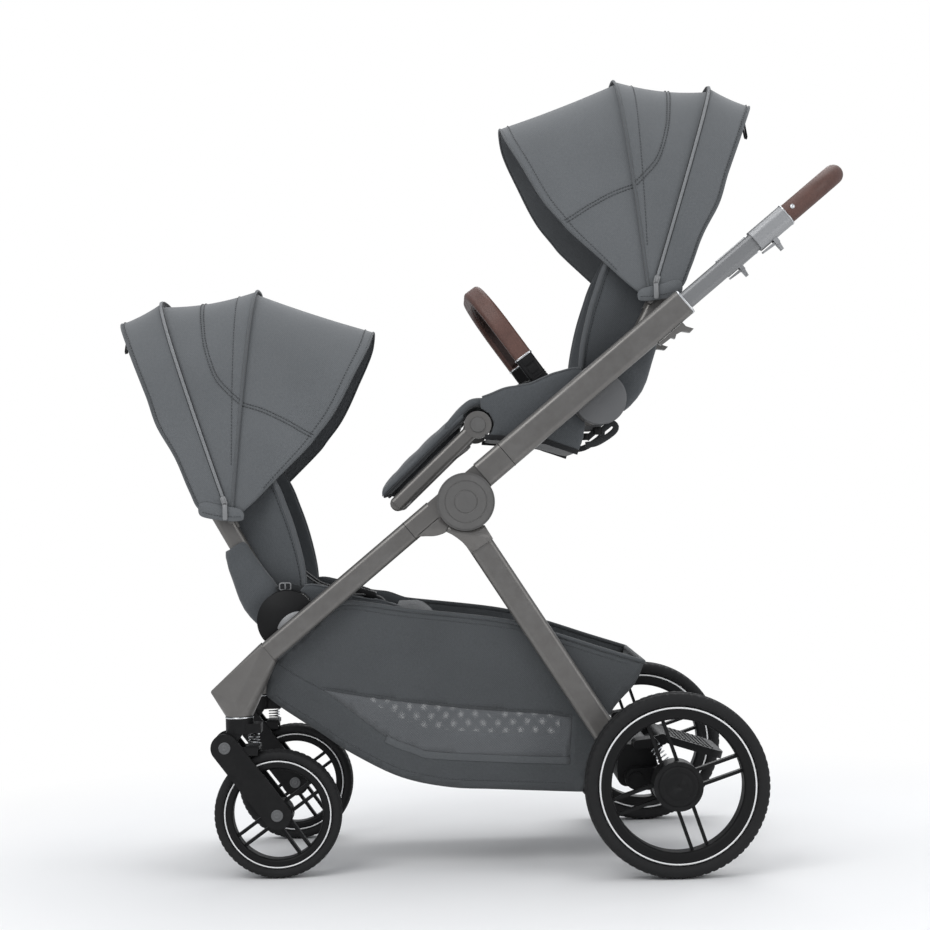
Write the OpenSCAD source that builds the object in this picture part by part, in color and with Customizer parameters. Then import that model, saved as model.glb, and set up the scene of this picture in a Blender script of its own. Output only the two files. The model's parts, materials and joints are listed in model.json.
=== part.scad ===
// Tandem stroller: folding chassis, four wheels, basket and two canopied seats that face each other.
// Front is toward -X, left is toward -Y, the floor is z = 0. Millimetres.

/* [Wheels] */
// Diameter of the rear tyres
rear_wheel_d = 285; // [265:1:300]
// Width of the rear tyres
rear_wheel_w = 44; // [36:1:50]
// Distance between the middles of the rear tyres
rear_track = 558; // [540:1:590]
// Depth of the rear tyre from tread to rim
rear_tyre_depth = 21; // [16:1:26]
// Depth of the rear rim ring
rear_rim_depth = 20; // [14:1:26]
// Radius of the rear hub
rear_hub_r = 38; // [30:1:44]
// Diameter of the front tyres
front_wheel_d = 202; // [190:1:206]
// Width of the front tyres
front_wheel_w = 38; // [30:1:39]
// Depth of the front tyre from tread to rim
front_tyre_depth = 16; // [12:1:20]
// Depth of the front rim ring
front_rim_depth = 14; // [10:1:18]
// Radius of the front hub
front_hub_r = 24; // [18:1:28]
// Thickness of one spoke bar
spoke_w = 5; // [4:0.5:7]
// Spread of the two bars of a rear spoke pair
rear_spoke_gap = 29; // [22:1:36]
// Spread of the two bars of a front spoke pair
front_spoke_gap = 24; // [16:1:28]
// Radius of the rear stub axles
rear_axle_r = 6; // [5:0.5:8]
// Radius of the front axles
front_axle_r = 5; // [4:0.5:6]

/* [Chassis] */
// Distance between the front and rear axles
wheelbase = 622; // [600:1:645]
// Height of the fold hub above the floor
hub_height = 586; // [570:1:600]
// Share of the wheelbase that lies behind the fold hub
hub_share = 0.5016; // [0.49:0.0001:0.52]
// Radius of the hinge plates in the fold hub
hub_r = 44; // [42:0.5:45]
// Radius of the fold pins
fold_pin_r = 8; // [6:0.5:10]
// Distance between the middles of the left and right tubes
tube_span = 360; // [350:1:370]
// Width of the frame tubes across the stroller
tube_w = 28; // [26:1:30]
// Height of the upper tube section
upper_tube_h = 45; // [42:1:48]
// Height of the front leg section
front_leg_h = 35; // [32:1:38]
// Height of the rear leg section
rear_leg_h = 41; // [38:1:44]
// How far in front of the hub's centre the rear leg's middle line runs
rear_offset = 18; // [15:0.5:20]
// Wall of the frame tubes
tube_wall = 2.5; // [2:0.25:3]
// Height of the lower end of the front legs above the swivel heads
knuckle_rise = 100; // [96:1:104]
// Distance of the suspension pivots in front of the rear axle
arm_len = 57; // [54:1:60]
// Height of the suspension pivots above the rear axle
arm_rise = 1.8; // [0:0.1:3]
// Distance of the upper tube axis above the fold pin
upper_offset = 15; // [12:0.5:18]
// Distance of the front leg axis above the fold pin
front_offset = 22; // [21:0.5:25]
// Length of the hub connectors
connector_len = 98; // [90:1:110]
// Length of the upper tubes from the fold hub to the collar
upper_tube_len = 472; // [460:1:480]
// Radius of the front crossbar
crossbar_r = 11; // [9:0.5:13]

/* [Handle] */
// Distance of the grip bar from the fold hub
handle_reach = 801; // [790:1:815]
// Height of the inner handle tube section
inner_tube_h = 30; // [27:0.5:32]
// Width of the inner handle tube section
inner_tube_w = 21; // [19:0.5:22]
// Length of inner tube hidden in the upper tube
inner_tube_hidden = 210; // [190:1:220]
// Radius of the leather grip
grip_r = 16.5; // [15:0.25:17]
// Bend radius of the grip at its corners
grip_bend = 66; // [55:1:80]
// Length of the metal sleeves
sleeve_len = 67; // [60:1:75]
// Height of the metal sleeves
sleeve_h = 37; // [35:0.5:39]

/* [Suspension] */
// Radius of the rear suspension pins
arm_pin_r = 6; // [5:0.5:7]
// Half height of the rear trailing arms
arm_r = 17; // [15:0.5:18]
// Thickness of the rear trailing arms
arm_t = 27; // [24:1:30]
// Outer radius of the rear coil springs
rear_spring_r = 10; // [8.5:0.5:11]
// Turns of the rear coil springs
rear_spring_turns = 5; // [4:1:6]
// Outer radius of the front coil springs
front_spring_r = 10; // [8.5:0.5:11]
// Turns of the front coil springs
front_spring_turns = 3; // [2:1:3]
// Wire diameter of the coil springs
spring_wire = 2.4; // [2:0.1:2.8]
// Trail of the front wheels behind their swivel axis
caster_trail = 58; // [52:1:62]
// Radius of the swivel stems
stem_r = 8; // [7:0.5:9]
// Radius of the swivel heads
caster_r = 22; // [20:0.5:23]
// Half width of the fork arms
fork_arm_r = 22; // [18:0.5:23]
// Thickness of the fork arms
fork_arm_t = 8; // [6:0.5:9]
// Radius of the fork pivot pins
fork_pin_r = 5; // [4:0.5:6]

/* [Brake] */
// Length of the brake pedal plate
pedal_len = 104; // [90:1:112]
// Width of the brake pedal plate
pedal_w = 170; // [140:1:200]
// Thickness of the brake pedal plate
pedal_t = 12; // [10:0.5:14]
// Number of ribs across the pedal
pedal_ribs = 9; // [6:1:11]

/* [Basket] */
// Thickness of the basket walls
basket_wall = 4; // [3:0.5:6]
// Height of the basket floor above the ground
basket_floor = 126; // [122:1:136]
// Drop of the basket rim from front to back
basket_fall = 97; // [85:1:105]

/* [Seats] */
// Distance of the upper seat hub along the upper tube
upper_seat_along = 272; // [262:1:280]
// Distance of the upper seat hub below the upper tube axis
upper_seat_drop = 29; // [27:0.5:31]
// Distance of the lower seat hub along the front leg
lower_seat_along = 336; // [330:1:344]
// Distance of the lower seat hub above the front leg axis
lower_seat_rise = 24; // [22:0.5:26]
// Gap between the frame tubes and the seat hubs
seat_gap = 8; // [7:0.25:9]
// Radius of the seat hub plates
seat_hub_r = 43; // [40:0.5:44]
// Radius of the recline pins
recline_pin_r = 12; // [10:0.5:14]
// Width of the dock keys
dock_key_w = 16; // [14:0.5:18]
// Distance of the leg rest hinge in front of the seat hub
seat_depth = 197; // [192:1:202]
// Distance of the leg rest hinge below the seat hub
seat_slope = 37; // [34:1:40]
// Slope of the backrest
back_angle = 61; // [60:0.5:63]
// Length of the backrest
back_len = 500; // [480:1:520]
// Radius of the back frame tubes
back_tube_r = 8; // [7:0.25:8.5]
// Thickness of the seat cushion
seat_pad_t = 28; // [22:1:32]
// Thickness of the back cushion
back_pad_t = 30; // [24:1:36]

/* [Canopies] */
// Distance of the canopy hinge along the backrest
canopy_along = 178; // [172:1:184]
// Radius of the canopy from its hinge
canopy_r = 390; // [380:1:400]
// Corner radius of the canopy crown
canopy_corner = 130; // [110:1:140]
// Thickness of one canopy layer
canopy_t = 2.4; // [2:0.1:2.6]
// Radius of the canopy hinge pins
canopy_pin_r = 5; // [4:0.5:6]

/* [Leg rests] */
// Length of the leg rest frame
legrest_len = 184; // [174:1:190]
// Slope of the leg rest below level
legrest_angle = 43; // [40:1:46]
// Half height of the leg rest tubes
legrest_tube_r = 12; // [10:0.5:13]
// Radius of the leg rest hinge eyes
legrest_eye_r = 22; // [20:0.5:23]
// Thickness of the leg rest pad
legrest_pad_t = 20; // [16:1:22]
// Radius of the leg rest buttons
button_r = 12; // [10:0.5:13]

/* [Bumper bar] */
// Length of the bumper bar from its sockets to the bow
bumper_len = 190; // [180:1:200]
// Slope of the bumper bar
bumper_angle = 55; // [53:0.5:57]
// Width of the bumper bar section
bumper_w = 29; // [26:1:32]
// Thickness of the bumper bar section
bumper_t = 19; // [17:0.5:20]
// Bend radius of the bumper bar corners
bumper_bend = 80; // [70:1:90]

/* [Clearances] */
// Radial clearance of turning pins
pin_gap = 0.05; // [0.02:0.01:0.09]
// Clearance between parts that slide or lie side by side
side_gap = 0.3; // [0.25:0.05:0.5]

/* [Hidden] */
$fn = 48;

frame_grey = "#6f6b67";
fabric_grey = "#5f6366";
dark_fabric = "#4c5053";
black_plastic = "#232323";
steel = "#c4c6c8";
leather = "#7a5850";

// Planes across the stroller, from the tube span outward and inward
side_y = tube_span / 2;
in_y = side_y - tube_w / 2;
out_y = side_y + tube_w / 2;
plate_t = (tube_w - 4 * side_gap) / 3;
plate_step = plate_t + 2 * side_gap;

// Wheel and hub places seen from the side
rear_axle_z = rear_wheel_d / 2;
front_axle_z = front_wheel_d / 2;
hub_x = -wheelbase * hub_share;
arm_pivot_x = -arm_len;
arm_pivot_z = rear_axle_z + arm_rise;
rear_reach = norm([arm_pivot_x - hub_x, hub_height - arm_pivot_z]);
rear_leg_len = sqrt(pow(rear_reach, 2) - pow(rear_offset, 2));
rear_leg_angle = atan2(hub_height - arm_pivot_z, arm_pivot_x - hub_x) - asin(rear_offset / rear_reach);
caster_x = -wheelbase - caster_trail;
caster_top = front_wheel_d + 54;
knuckle_x = caster_x + 49;
knuckle_z = caster_top + knuckle_rise;
knuckle_w = tube_w + 4;
fork_pivot_x = caster_x - caster_r;
fork_pivot_z = front_wheel_d + 7;
hub_face = hub_r + 4;
cover_t = 12;

// The front legs pass the fold pin at their offset and end at the knuckles; the upper tubes share their slope
knuckle_reach = norm([hub_x - knuckle_x, hub_height - knuckle_z]);
frame_angle = atan2(hub_height - knuckle_z, hub_x - knuckle_x) + asin(front_offset / knuckle_reach);
leg_end = sqrt(knuckle_reach * knuckle_reach - front_offset * front_offset);

// A point on the upper tube or front leg: along the slope, and above the line through the fold pin
function slope_x(along, above) = hub_x + along * cos(frame_angle) - above * sin(frame_angle);
function slope_z(along, above) = hub_height + along * sin(frame_angle) + above * cos(frame_angle);
upper_seat_x = slope_x(upper_seat_along, upper_offset - upper_seat_drop);
upper_seat_z = slope_z(upper_seat_along, upper_offset - upper_seat_drop);
lower_seat_x = slope_x(-lower_seat_along, front_offset + lower_seat_rise);
lower_seat_z = slope_z(-lower_seat_along, front_offset + lower_seat_rise);

// Layers of a seat across the stroller, from the hub plates inward
seat_half = in_y - seat_gap;
hub_plate_t = 12;
plate_in = seat_half - hub_plate_t;
back_plate_out = plate_in - side_gap;
back_plate_in = back_plate_out - 17;
back_tube_y = back_plate_in - back_tube_r + 3;
rail_out = back_tube_y - back_tube_r - 3;
rail_t = 12;
tub_out = seat_half - 8;
tub_wall = 4;
back_out = tub_out - tub_wall - 2;
back_wall = 7;
back_plate_r = 33;

// Canopy layers, hinge place and sectors, seen from the seat hub with the seat facing +X
hood_half = seat_half - 1;
hood_step = canopy_t + 0.6;
hood_x = -canopy_along * cos(back_angle);
hood_z = canopy_along * sin(back_angle);
hood_rear_angle = 180 - back_angle;
hood_zip_angle = hood_rear_angle - 13;
hood_bow_angle = hood_rear_angle - 35;
hood_overlap = 2.5;
hood_eye_r = 15;

// Front and rear edges of the canopy cloth, as radius from the hinge and angle back from the rear hoop
hood_front_edge = [[90, -77], [195, -75], [300, -70], [canopy_r + 10, -65]];
hood_rear_edge = [[47, 42], [126, 12], [243, 2.4], [canopy_r + 10, 0]];
hood_reach = 2 * canopy_r;
function hood_point(p) = p[0] * [cos(hood_rear_angle + p[1]), sin(hood_rear_angle + p[1])];
hood_front_cut = [for (p = concat([[0, 0]], hood_front_edge, [[hood_reach, -90], [hood_reach, -170]]))
    hood_point(p)];
hood_rear_cut = [for (p = concat([[0, 0]], hood_rear_edge, [[hood_reach, 21], [hood_reach, 81], [100, 110]]))
    hood_point(p)];

// The origin lies under the middle of the whole stroller
front_end = lower_seat_x + hood_x + canopy_r * cos(hood_rear_angle);
rear_end = slope_x(handle_reach, upper_offset) + grip_r;
centre_x = (front_end + rear_end) / 2;

module stroller() translate([-centre_x, 0, 0]) children();
module both() { children(); mirror([0, 1, 0]) children(); }
module left() mirror([0, 1, 0]) children();
module on_slope() stroller() translate([hub_x, 0, hub_height]) rotate([0, -frame_angle, 0]) children();
module on_rear_leg() stroller() translate([hub_x, 0, hub_height]) rotate([0, rear_leg_angle, 0]) children();
module upper_seat() stroller() translate([upper_seat_x, 0, upper_seat_z]) mirror([1, 0, 0]) children();
module lower_seat() stroller() translate([lower_seat_x, 0, lower_seat_z]) children();
module at_hood() translate([hood_x, 0, hood_z]) children();
module on_back() rotate([0, back_angle - 180, 0]) mirror([0, 0, 1]) children();
module at_legrest() translate([seat_depth, 0, -seat_slope]) rotate([0, legrest_angle, 0]) children();

// A round bar across the stroller between two planes
module bar_y(r, y0, y1) translate([0, y0, 0]) rotate([-90, 0, 0]) cylinder(r = r, h = y1 - y0);

// A flat solid across the stroller between two planes, from an outline in x and z
module plate_y(y0, y1) translate([0, y1, 0]) rotate([90, 0, 0]) linear_extrude(y1 - y0) children();

module rounded_rect(a, b, r) {
    square([a - 2 * r, b], center = true);
    square([a, b - 2 * r], center = true);
    for (x = [-1, 1], y = [-1, 1]) translate([x * (a / 2 - r), y * (b / 2 - r)]) circle(r);
}

// A solid bar along x with a rounded section
module bar_x(w, h, r, x0, x1) translate([x0, 0, 0]) rotate([90, 0, 90])
    linear_extrude(x1 - x0) rounded_rect(w, h, r);

module tube_x(w, h, r, wall, x0, x1) difference() {
    bar_x(w, h, r, x0, x1);
    bar_x(w - 2 * wall, h - 2 * wall, r - wall, x0 - 1, x1 + 1);
}

// A flat link with round ends between two side-view points
module link_y(x0, z0, x1, z1, r, y0, y1) {
    long = norm([x1 - x0, z1 - z0]);
    translate([x0, 0, z0]) rotate([0, -atan2(z1 - z0, x1 - x0), 0]) {
        bar_y(r, y0, y1);
        translate([long, 0, 0]) bar_y(r, y0, y1);
        translate([0, y0, -r]) cube([long, y1 - y0, 2 * r]);
    }
}

// A coil spring standing on z = 0: one six-sided wire, eight rings to a turn, ends square to their seats
function coil_point(i, n, r, h, turns, wire) =
    let (lift = max(0, min(1, (i - 1) / (n - 3))))
    [r * cos(360 * turns * lift), r * sin(360 * turns * lift),
     i == 0 ? 0 : i == n - 1 ? h : wire + (h - 2 * wire) * lift];
function coil_path(r, h, turns, wire) =
    let (n = 8 * turns + 3) [for (i = [0 : n - 1]) coil_point(i, n, r, h, turns, wire)];
function unit(v) = v / norm(v);
function ring(p, tangent, r) =
    let (out = unit([p.x, p.y, 0]), side = unit(cross(tangent, out)), face = cross(side, tangent))
    [for (k = [0 : 5]) p + r * (cos(60 * k) * face + sin(60 * k) * side)];
function coil_gap(r, h, turns, wire) =
    let (path = coil_path(r, h, turns, wire), n = len(path))
    min([for (i = [1 : n - 2], j = [1 : n - 2]) if (j - i > 4) norm(path[i] - path[j])]) - wire;
module coil(r, h, turns, wire) {
    path = coil_path(r, h, turns, wire);
    n = len(path);
    points = [for (i = [0 : n - 1])
        each ring(path[i], i == 0 || i == n - 1 ? [0, 0, 1] : unit(path[i + 1] - path[i - 1]), wire / 2)];
    walls = [for (i = [0 : n - 2], k = [0 : 5])
        let (a = 6 * i + k, b = 6 * i + (k + 1) % 6) each [[a, b + 6, b], [a, a + 6, b + 6]]];
    last = 6 * (n - 1);
    ends = [for (k = [1 : 4]) each [[0, k, k + 1], [last, last + k + 1, last + k]]];
    polyhedron(points, concat(walls, ends));
}

// A stuffed pad lying on z = 0 with a crown, drawn-in sides and sewn channels across it
function swell(t) = 1 - pow(abs(2 * t - 1), 3);
module pad(long, wide, thick, pull, nx = 16, ny = 10) {
    edge = thick * 0.45;
    depth = thick * 0.12;
    function px(i, j) = (i / nx - 0.5) * (long - 2 * pull * sin(180 * j / ny));
    function py(i, j) = (j / ny - 0.5) * (wide - 2 * pull * sin(180 * i / nx));
    function top(i, j) = edge + (thick - edge) * pow(swell(i / nx) * swell(j / ny), 0.6)
        - depth * swell(j / ny) * (i % 4 == 0 && i > 0 && i < nx ? 1 : 0);
    points = concat(
        [for (i = [0 : nx], j = [0 : ny]) [px(i, j), py(i, j), top(i, j)]],
        [for (i = [0 : nx], j = [0 : ny]) [px(i, j), py(i, j), 0]]);
    m = ny + 1;
    low = (nx + 1) * m;
    upper = [for (i = [0 : nx - 1], j = [0 : ny - 1]) let (a = i * m + j)
        each [[a, a + 1, a + m + 1], [a, a + m + 1, a + m]]];
    lower = [for (i = [0 : nx - 1], j = [0 : ny - 1]) let (a = low + i * m + j)
        each [[a, a + m + 1, a + 1], [a, a + m, a + m + 1]]];
    sides = concat(
        [for (i = [0 : nx - 1]) let (a = i * m, b = a + m) each [[a, b, b + low], [a, b + low, a + low]]],
        [for (i = [0 : nx - 1]) let (a = i * m + ny, b = a + m)
            each [[a, b + low, b], [a, a + low, b + low]]],
        [for (j = [0 : ny - 1]) let (a = j, b = j + 1) each [[a, b + low, b], [a, a + low, b + low]]],
        [for (j = [0 : ny - 1]) let (a = nx * m + j, b = a + 1)
            each [[a, b, b + low], [a, b + low, a + low]]]);
    polyhedron(points, concat(upper, lower, sides));
}

// Wheels, drawn about their own axis with the outer side toward +Y

module tyre(d, w, depth) rotate([-90, 0, 0]) rotate_extrude($fn = 96)
    translate([d / 2 - depth / 2, 0]) rounded_rect(depth, w, min(depth, w) * 0.42);

module rim(d, w, tyre_depth, rim_depth, hub_r, gap, axle_r, turn, inner, outer) {
    rim_out = d / 2 - tyre_depth;
    rim_in = rim_out - rim_depth;
    difference() {
        union() {
            rotate([-90, 0, 0]) rotate_extrude($fn = 96)
                translate([rim_out - rim_depth / 2, 0]) rounded_rect(rim_depth, w * 0.8, 5);
            bar_y(hub_r, -inner, outer);
            for (a = [0 : 90 : 270], s = [-1, 1])
                rotate([0, -a - turn, 0])
                    translate([hub_r * 0.7, -4, s * (gap - spoke_w) / 2 - spoke_w / 2])
                        cube([rim_in + rim_depth / 2 - hub_r * 0.7, 12, spoke_w]);
        }
        bar_y(axle_r + pin_gap, -inner - 1, outer - 4);
    }
}

module at_rear_wheel() stroller() translate([0, rear_track / 2, rear_axle_z]) children();
module at_front_wheel() stroller() translate([-wheelbase, side_y, front_axle_z]) children();

rear_hub_in = 24;
rear_hub_out = 24;
front_hub_half = front_wheel_w / 2 + 1;
module rear_tyre() at_rear_wheel() tyre(rear_wheel_d, rear_wheel_w, rear_tyre_depth);
module rear_rim() at_rear_wheel()
    rim(rear_wheel_d, rear_wheel_w, rear_tyre_depth, rear_rim_depth, rear_hub_r, rear_spoke_gap, rear_axle_r,
        18, rear_hub_in, rear_hub_out);
module front_tyre() at_front_wheel() tyre(front_wheel_d, front_wheel_w, front_tyre_depth);
module front_rim() at_front_wheel() difference() {
    rim(front_wheel_d, front_wheel_w, front_tyre_depth, front_rim_depth, front_hub_r, front_spoke_gap,
        front_axle_r, 35, front_hub_half, front_hub_half);
    bar_y(front_axle_r + pin_gap, -front_wheel_w, front_wheel_w);
}
module rear_tyre_left() color(black_plastic) left() rear_tyre();
module rear_tyre_right() color(black_plastic) rear_tyre();
module rear_rim_left() color(black_plastic) left() rear_rim();
module rear_rim_right() color(black_plastic) rear_rim();
module front_tyre_left() color(black_plastic) left() front_tyre();
module front_tyre_right() color(black_plastic) front_tyre();
module front_rim_left() color(black_plastic) left() front_rim();
module front_rim_right() color(black_plastic) front_rim();

// Rear legs, axle housing, arms and springs

leg_socket = 46;
module rear_leg_section(x0, x1) translate([0, side_y, -rear_offset]) bar_x(tube_w, rear_leg_h, 8, x0, x1);
module rear_leg_tubes() color(frame_grey) both() on_rear_leg() translate([0, side_y, -rear_offset])
    tube_x(tube_w, rear_leg_h, 8, tube_wall, connector_len, rear_leg_len - leg_socket);
module rear_leg_connectors() color(frame_grey) both() on_rear_leg() {
    rear_leg_section(hub_face, connector_len);
    bar_y(hub_r, in_y, in_y + plate_t);
    translate([0, in_y, 12 - rear_offset - rear_leg_h / 2]) cube([hub_face + 1, plate_t, rear_leg_h - 12]);
    bar_y(fold_pin_r, in_y, out_y - side_gap);
}

beam_x = arm_pivot_x + 4;
beam_z = arm_pivot_z + 18;
beam_w = 62;
beam_h = 66;
arm_in = out_y + side_gap;
arm_out = arm_in + arm_t;
spring_y = arm_in + arm_t / 2;
spring_foot_x = -6;
spring_foot_z = rear_axle_z + arm_r + 3;
spring_head_x = -27;
spring_head_z = rear_axle_z + 51;
rear_spring_tilt = atan2(spring_foot_x - spring_head_x, spring_head_z - spring_foot_z);
rear_spring_h = norm([spring_head_x - spring_foot_x, spring_head_z - spring_foot_z]);
pedal_x = 0;
pedal_z = rear_axle_z + 46;
pedal_pin_r = 4;
pedal_barrel_r = 9;
ear_t = 6;
module on_rear_spring() stroller() translate([spring_foot_x, spring_y, spring_foot_z])
    rotate([0, -rear_spring_tilt, 0]) children();
module rear_axle_housing() color(black_plastic) difference() {
    union() {
        stroller() {
            translate([beam_x, 0, beam_z]) plate_y(-out_y, out_y) rounded_rect(beam_w, beam_h, 14);
            translate([pedal_x, 0, pedal_z])
                bar_y(pedal_pin_r, -pedal_w / 2 - ear_t - 1, pedal_w / 2 + ear_t + 1);
            both() translate([arm_pivot_x, 0, arm_pivot_z]) {
                bar_y(arm_pin_r, out_y - 1, arm_out + 5);
                bar_y(arm_pin_r + 5, arm_out + side_gap, arm_out + 5);
            }
            both() link_y(beam_x + beam_w / 2 - 10, pedal_z - 9, pedal_x, pedal_z, pedal_barrel_r,
                pedal_w / 2 + side_gap, pedal_w / 2 + ear_t);
            both() link_y(beam_x, spring_head_z + 4, spring_head_x - 2, spring_head_z + 7, 7,
                out_y - 12, arm_out);
        }
        both() on_rear_spring() translate([0, 0, rear_spring_h]) cylinder(r = rear_spring_r, h = 7);
    }
    both() on_rear_leg() rear_leg_section(0, rear_leg_len - leg_socket);
}
module rear_springs() color(steel) both() on_rear_spring() translate([0, 0, side_gap])
    coil(rear_spring_r - spring_wire / 2, rear_spring_h - 2 * side_gap, rear_spring_turns, spring_wire);
module rear_arm() difference() {
    union() {
        stroller() {
            link_y(arm_pivot_x, arm_pivot_z, 0, rear_axle_z, arm_r, arm_in, arm_out);
            translate([0, 0, rear_axle_z]) {
                bar_y(rear_axle_r, arm_in, rear_track / 2 + rear_hub_out - 5);
                bar_y(rear_axle_r + 8, arm_in, rear_track / 2 - rear_hub_in - side_gap);
            }
        }
        on_rear_spring() translate([0, 0, -10]) cylinder(r = rear_spring_r, h = 10);
    }
    stroller() translate([arm_pivot_x, 0, arm_pivot_z]) bar_y(arm_pin_r + pin_gap, arm_in - 1, arm_out + 1);
}
module rear_arm_left() color(black_plastic) left() rear_arm();
module rear_arm_right() color(black_plastic) rear_arm();

// Brake pedal on a pin across the housing
pedal_tilt = 18;
rib_t = 3;
module brake_pedal() color(black_plastic) stroller() translate([pedal_x, 0, pedal_z]) difference() {
    union() {
        bar_y(pedal_barrel_r, -pedal_w / 2, pedal_w / 2);
        rotate([0, pedal_tilt, 0]) {
            translate([pedal_len / 2, 0, pedal_barrel_r - 1.5 - pedal_t])
                linear_extrude(pedal_t) rounded_rect(pedal_len, pedal_w, 18);
            for (i = [1 : pedal_ribs]) {
                rib_x = 12 + (pedal_len - 24) * i / (pedal_ribs + 1);
                translate([rib_x, -pedal_w / 2 + 14, pedal_barrel_r - 2.5]) cube([rib_t, pedal_w - 28, 2.5]);
            }
        }
    }
    bar_y(pedal_pin_r + pin_gap, -pedal_w, pedal_w);
}

// Basket between the legs, open at the top
basket_half = in_y - side_gap;
basket_front_x = lower_seat_x - 21;
basket_rear_x = -34;
basket_front_z = lower_seat_z - 71;
basket_rim_x = lower_seat_x + 85;
basket_rim_z = lower_seat_z + 20;
basket_rear_z = basket_rim_z - basket_fall;
basket_mid_x = -254;
basket_mid_z = basket_rim_z - 0.37 * basket_fall;
basket_heel_x = -138;
basket_toe_x = lower_seat_x + 94;
basket_side = [
    [basket_rim_x, basket_rim_z], [basket_front_x, basket_front_z],
    [basket_front_x - 14, basket_front_z - 48], [basket_toe_x - 78, basket_floor + 104],
    [basket_toe_x, basket_floor + 38], [basket_toe_x + 80, basket_floor + 14],
    [basket_heel_x - 170, basket_floor], [basket_heel_x, basket_floor - 8],
    [basket_heel_x + 50, basket_floor + 120], [basket_rear_x - 4, basket_rear_z - 34],
    [basket_rear_x, basket_rear_z], [basket_mid_x, basket_mid_z]
];
module basket() color(fabric_grey) stroller() difference() {
    plate_y(-basket_half, basket_half) polygon(basket_side);
    plate_y(-basket_half + basket_wall, basket_half - basket_wall) {
        offset(delta = -basket_wall) polygon(basket_side);
        polygon([[basket_front_x + 3, basket_front_z - 4], [basket_front_x + 3, basket_rim_z + 50],
            [basket_rear_x - 8, basket_rim_z + 50], [basket_rear_x - 8, basket_rear_z - 8],
            [basket_mid_x, basket_mid_z - 10], [basket_rim_x, basket_rim_z - 10]]);
    }
    both() translate([basket_front_x - 60, side_y - knuckle_w / 2 - side_gap, 0])
        cube([68, tube_w, hub_height]);
}

// Front legs, knuckles, crossbar and hub covers

stem_depth = 34;
toe_x = caster_x - 43;
module at_front_leg() on_slope() translate([0, side_y, front_offset]) children();
module front_leg_tubes() color(frame_grey) both() at_front_leg()
    tube_x(tube_w, front_leg_h, 8, tube_wall, -leg_end, -connector_len);
module dock(x, z, tube_z) {
    translate([x, 0, z]) plate_y(seat_half + side_gap, in_y) rounded_rect(44, 44, 14);
    translate([x, 0, z]) plate_y(plate_in + 4 + side_gap, in_y) square([dock_key_w, 34], center = true);
    translate([x, 0, (z + tube_z) / 2]) plate_y(seat_half + side_gap, in_y)
        square([30, abs(z - tube_z)], center = true);
}
module front_leg_connectors() color(frame_grey) {
    both() at_front_leg() bar_x(tube_w, front_leg_h, 8, -connector_len, -hub_face);
    both() on_slope() difference() {
        union() {
            bar_y(hub_r, out_y - plate_t, out_y);
            translate([-hub_face - 1, out_y - plate_t, front_offset - front_leg_h / 2])
                cube([hub_face + 1, plate_t, hub_r + front_leg_h / 2 - front_offset - 6]);
        }
        bar_y(fold_pin_r + pin_gap, 0, out_y + 1);
    }
    both() stroller() dock(lower_seat_x, lower_seat_z, slope_z(-lower_seat_along, front_offset));
}
module front_knuckles() color(frame_grey) both() difference() {
    hull() {
        at_front_leg() bar_x(knuckle_w, front_leg_h + 3, 8, -leg_end - 2, -leg_end, $fn = 32);
        stroller() translate([caster_x, side_y, caster_top + 1]) cylinder(r = caster_r, h = 22, $fn = 32);
        stroller() translate([toe_x + 4, 0, caster_top + 40]) bar_y(4, side_y - 11, side_y + 11, $fn = 32);
    }
    stroller() translate([caster_x, side_y, caster_top - 1])
        cylinder(r = stem_r + pin_gap, h = stem_depth + 2);
    stroller() translate([crossbar_x, 0, crossbar_z]) bar_y(crossbar_r, 0, crossbar_half);
}
crossbar_half = side_y - 10;
crossbar_x = caster_x + 13;
crossbar_z = caster_top + 40 + 0.37 * (knuckle_z - caster_top - 40);
module front_crossbar() color(frame_grey) stroller() translate([crossbar_x, 0, crossbar_z])
    bar_y(crossbar_r, -crossbar_half, crossbar_half);
module hub_covers() color(frame_grey) both() on_slope() difference() {
    union() {
        bar_y(hub_r + 2, out_y, out_y + cover_t - 3);
        bar_y(hub_r - 1, out_y, out_y + cover_t);
    }
    translate([0, out_y + cover_t, 0]) rotate([-90, 0, 0]) rotate_extrude()
        for (r = [33, 18]) translate([r, 0]) circle(0.9, $fn = 16);
}

// Front casters: swivel head, sprung fork

head_half = front_hub_half + side_gap;
fork_in = head_half + side_gap;
shelf_z = front_wheel_d + 3;
shelf_t = 6;
shoulder_z = shelf_z + shelf_t + 19;
front_spring_h = shoulder_z - shelf_z - shelf_t - 2 * side_gap;
front_spring_x = caster_x + 22;
module at_caster() stroller() translate([0, side_y, 0]) children();
module caster() difference() {
    at_caster() {
        translate([caster_x, 0, shoulder_z]) cylinder(r = caster_r, h = caster_top - shoulder_z);
        translate([caster_x, 0, caster_top - 1]) cylinder(r = stem_r, h = stem_depth);
        translate([caster_x, -head_half + 3, shoulder_z])
            cube([front_spring_x - caster_x + front_spring_r + 3, 2 * head_half - 6, 15]);
        link_y(fork_pivot_x, fork_pivot_z, caster_x, shoulder_z + 11, 11, -head_half, head_half);
    }
    at_caster() translate([fork_pivot_x, 0, fork_pivot_z]) bar_y(fork_pin_r + pin_gap, -60, 60);
}
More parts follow.
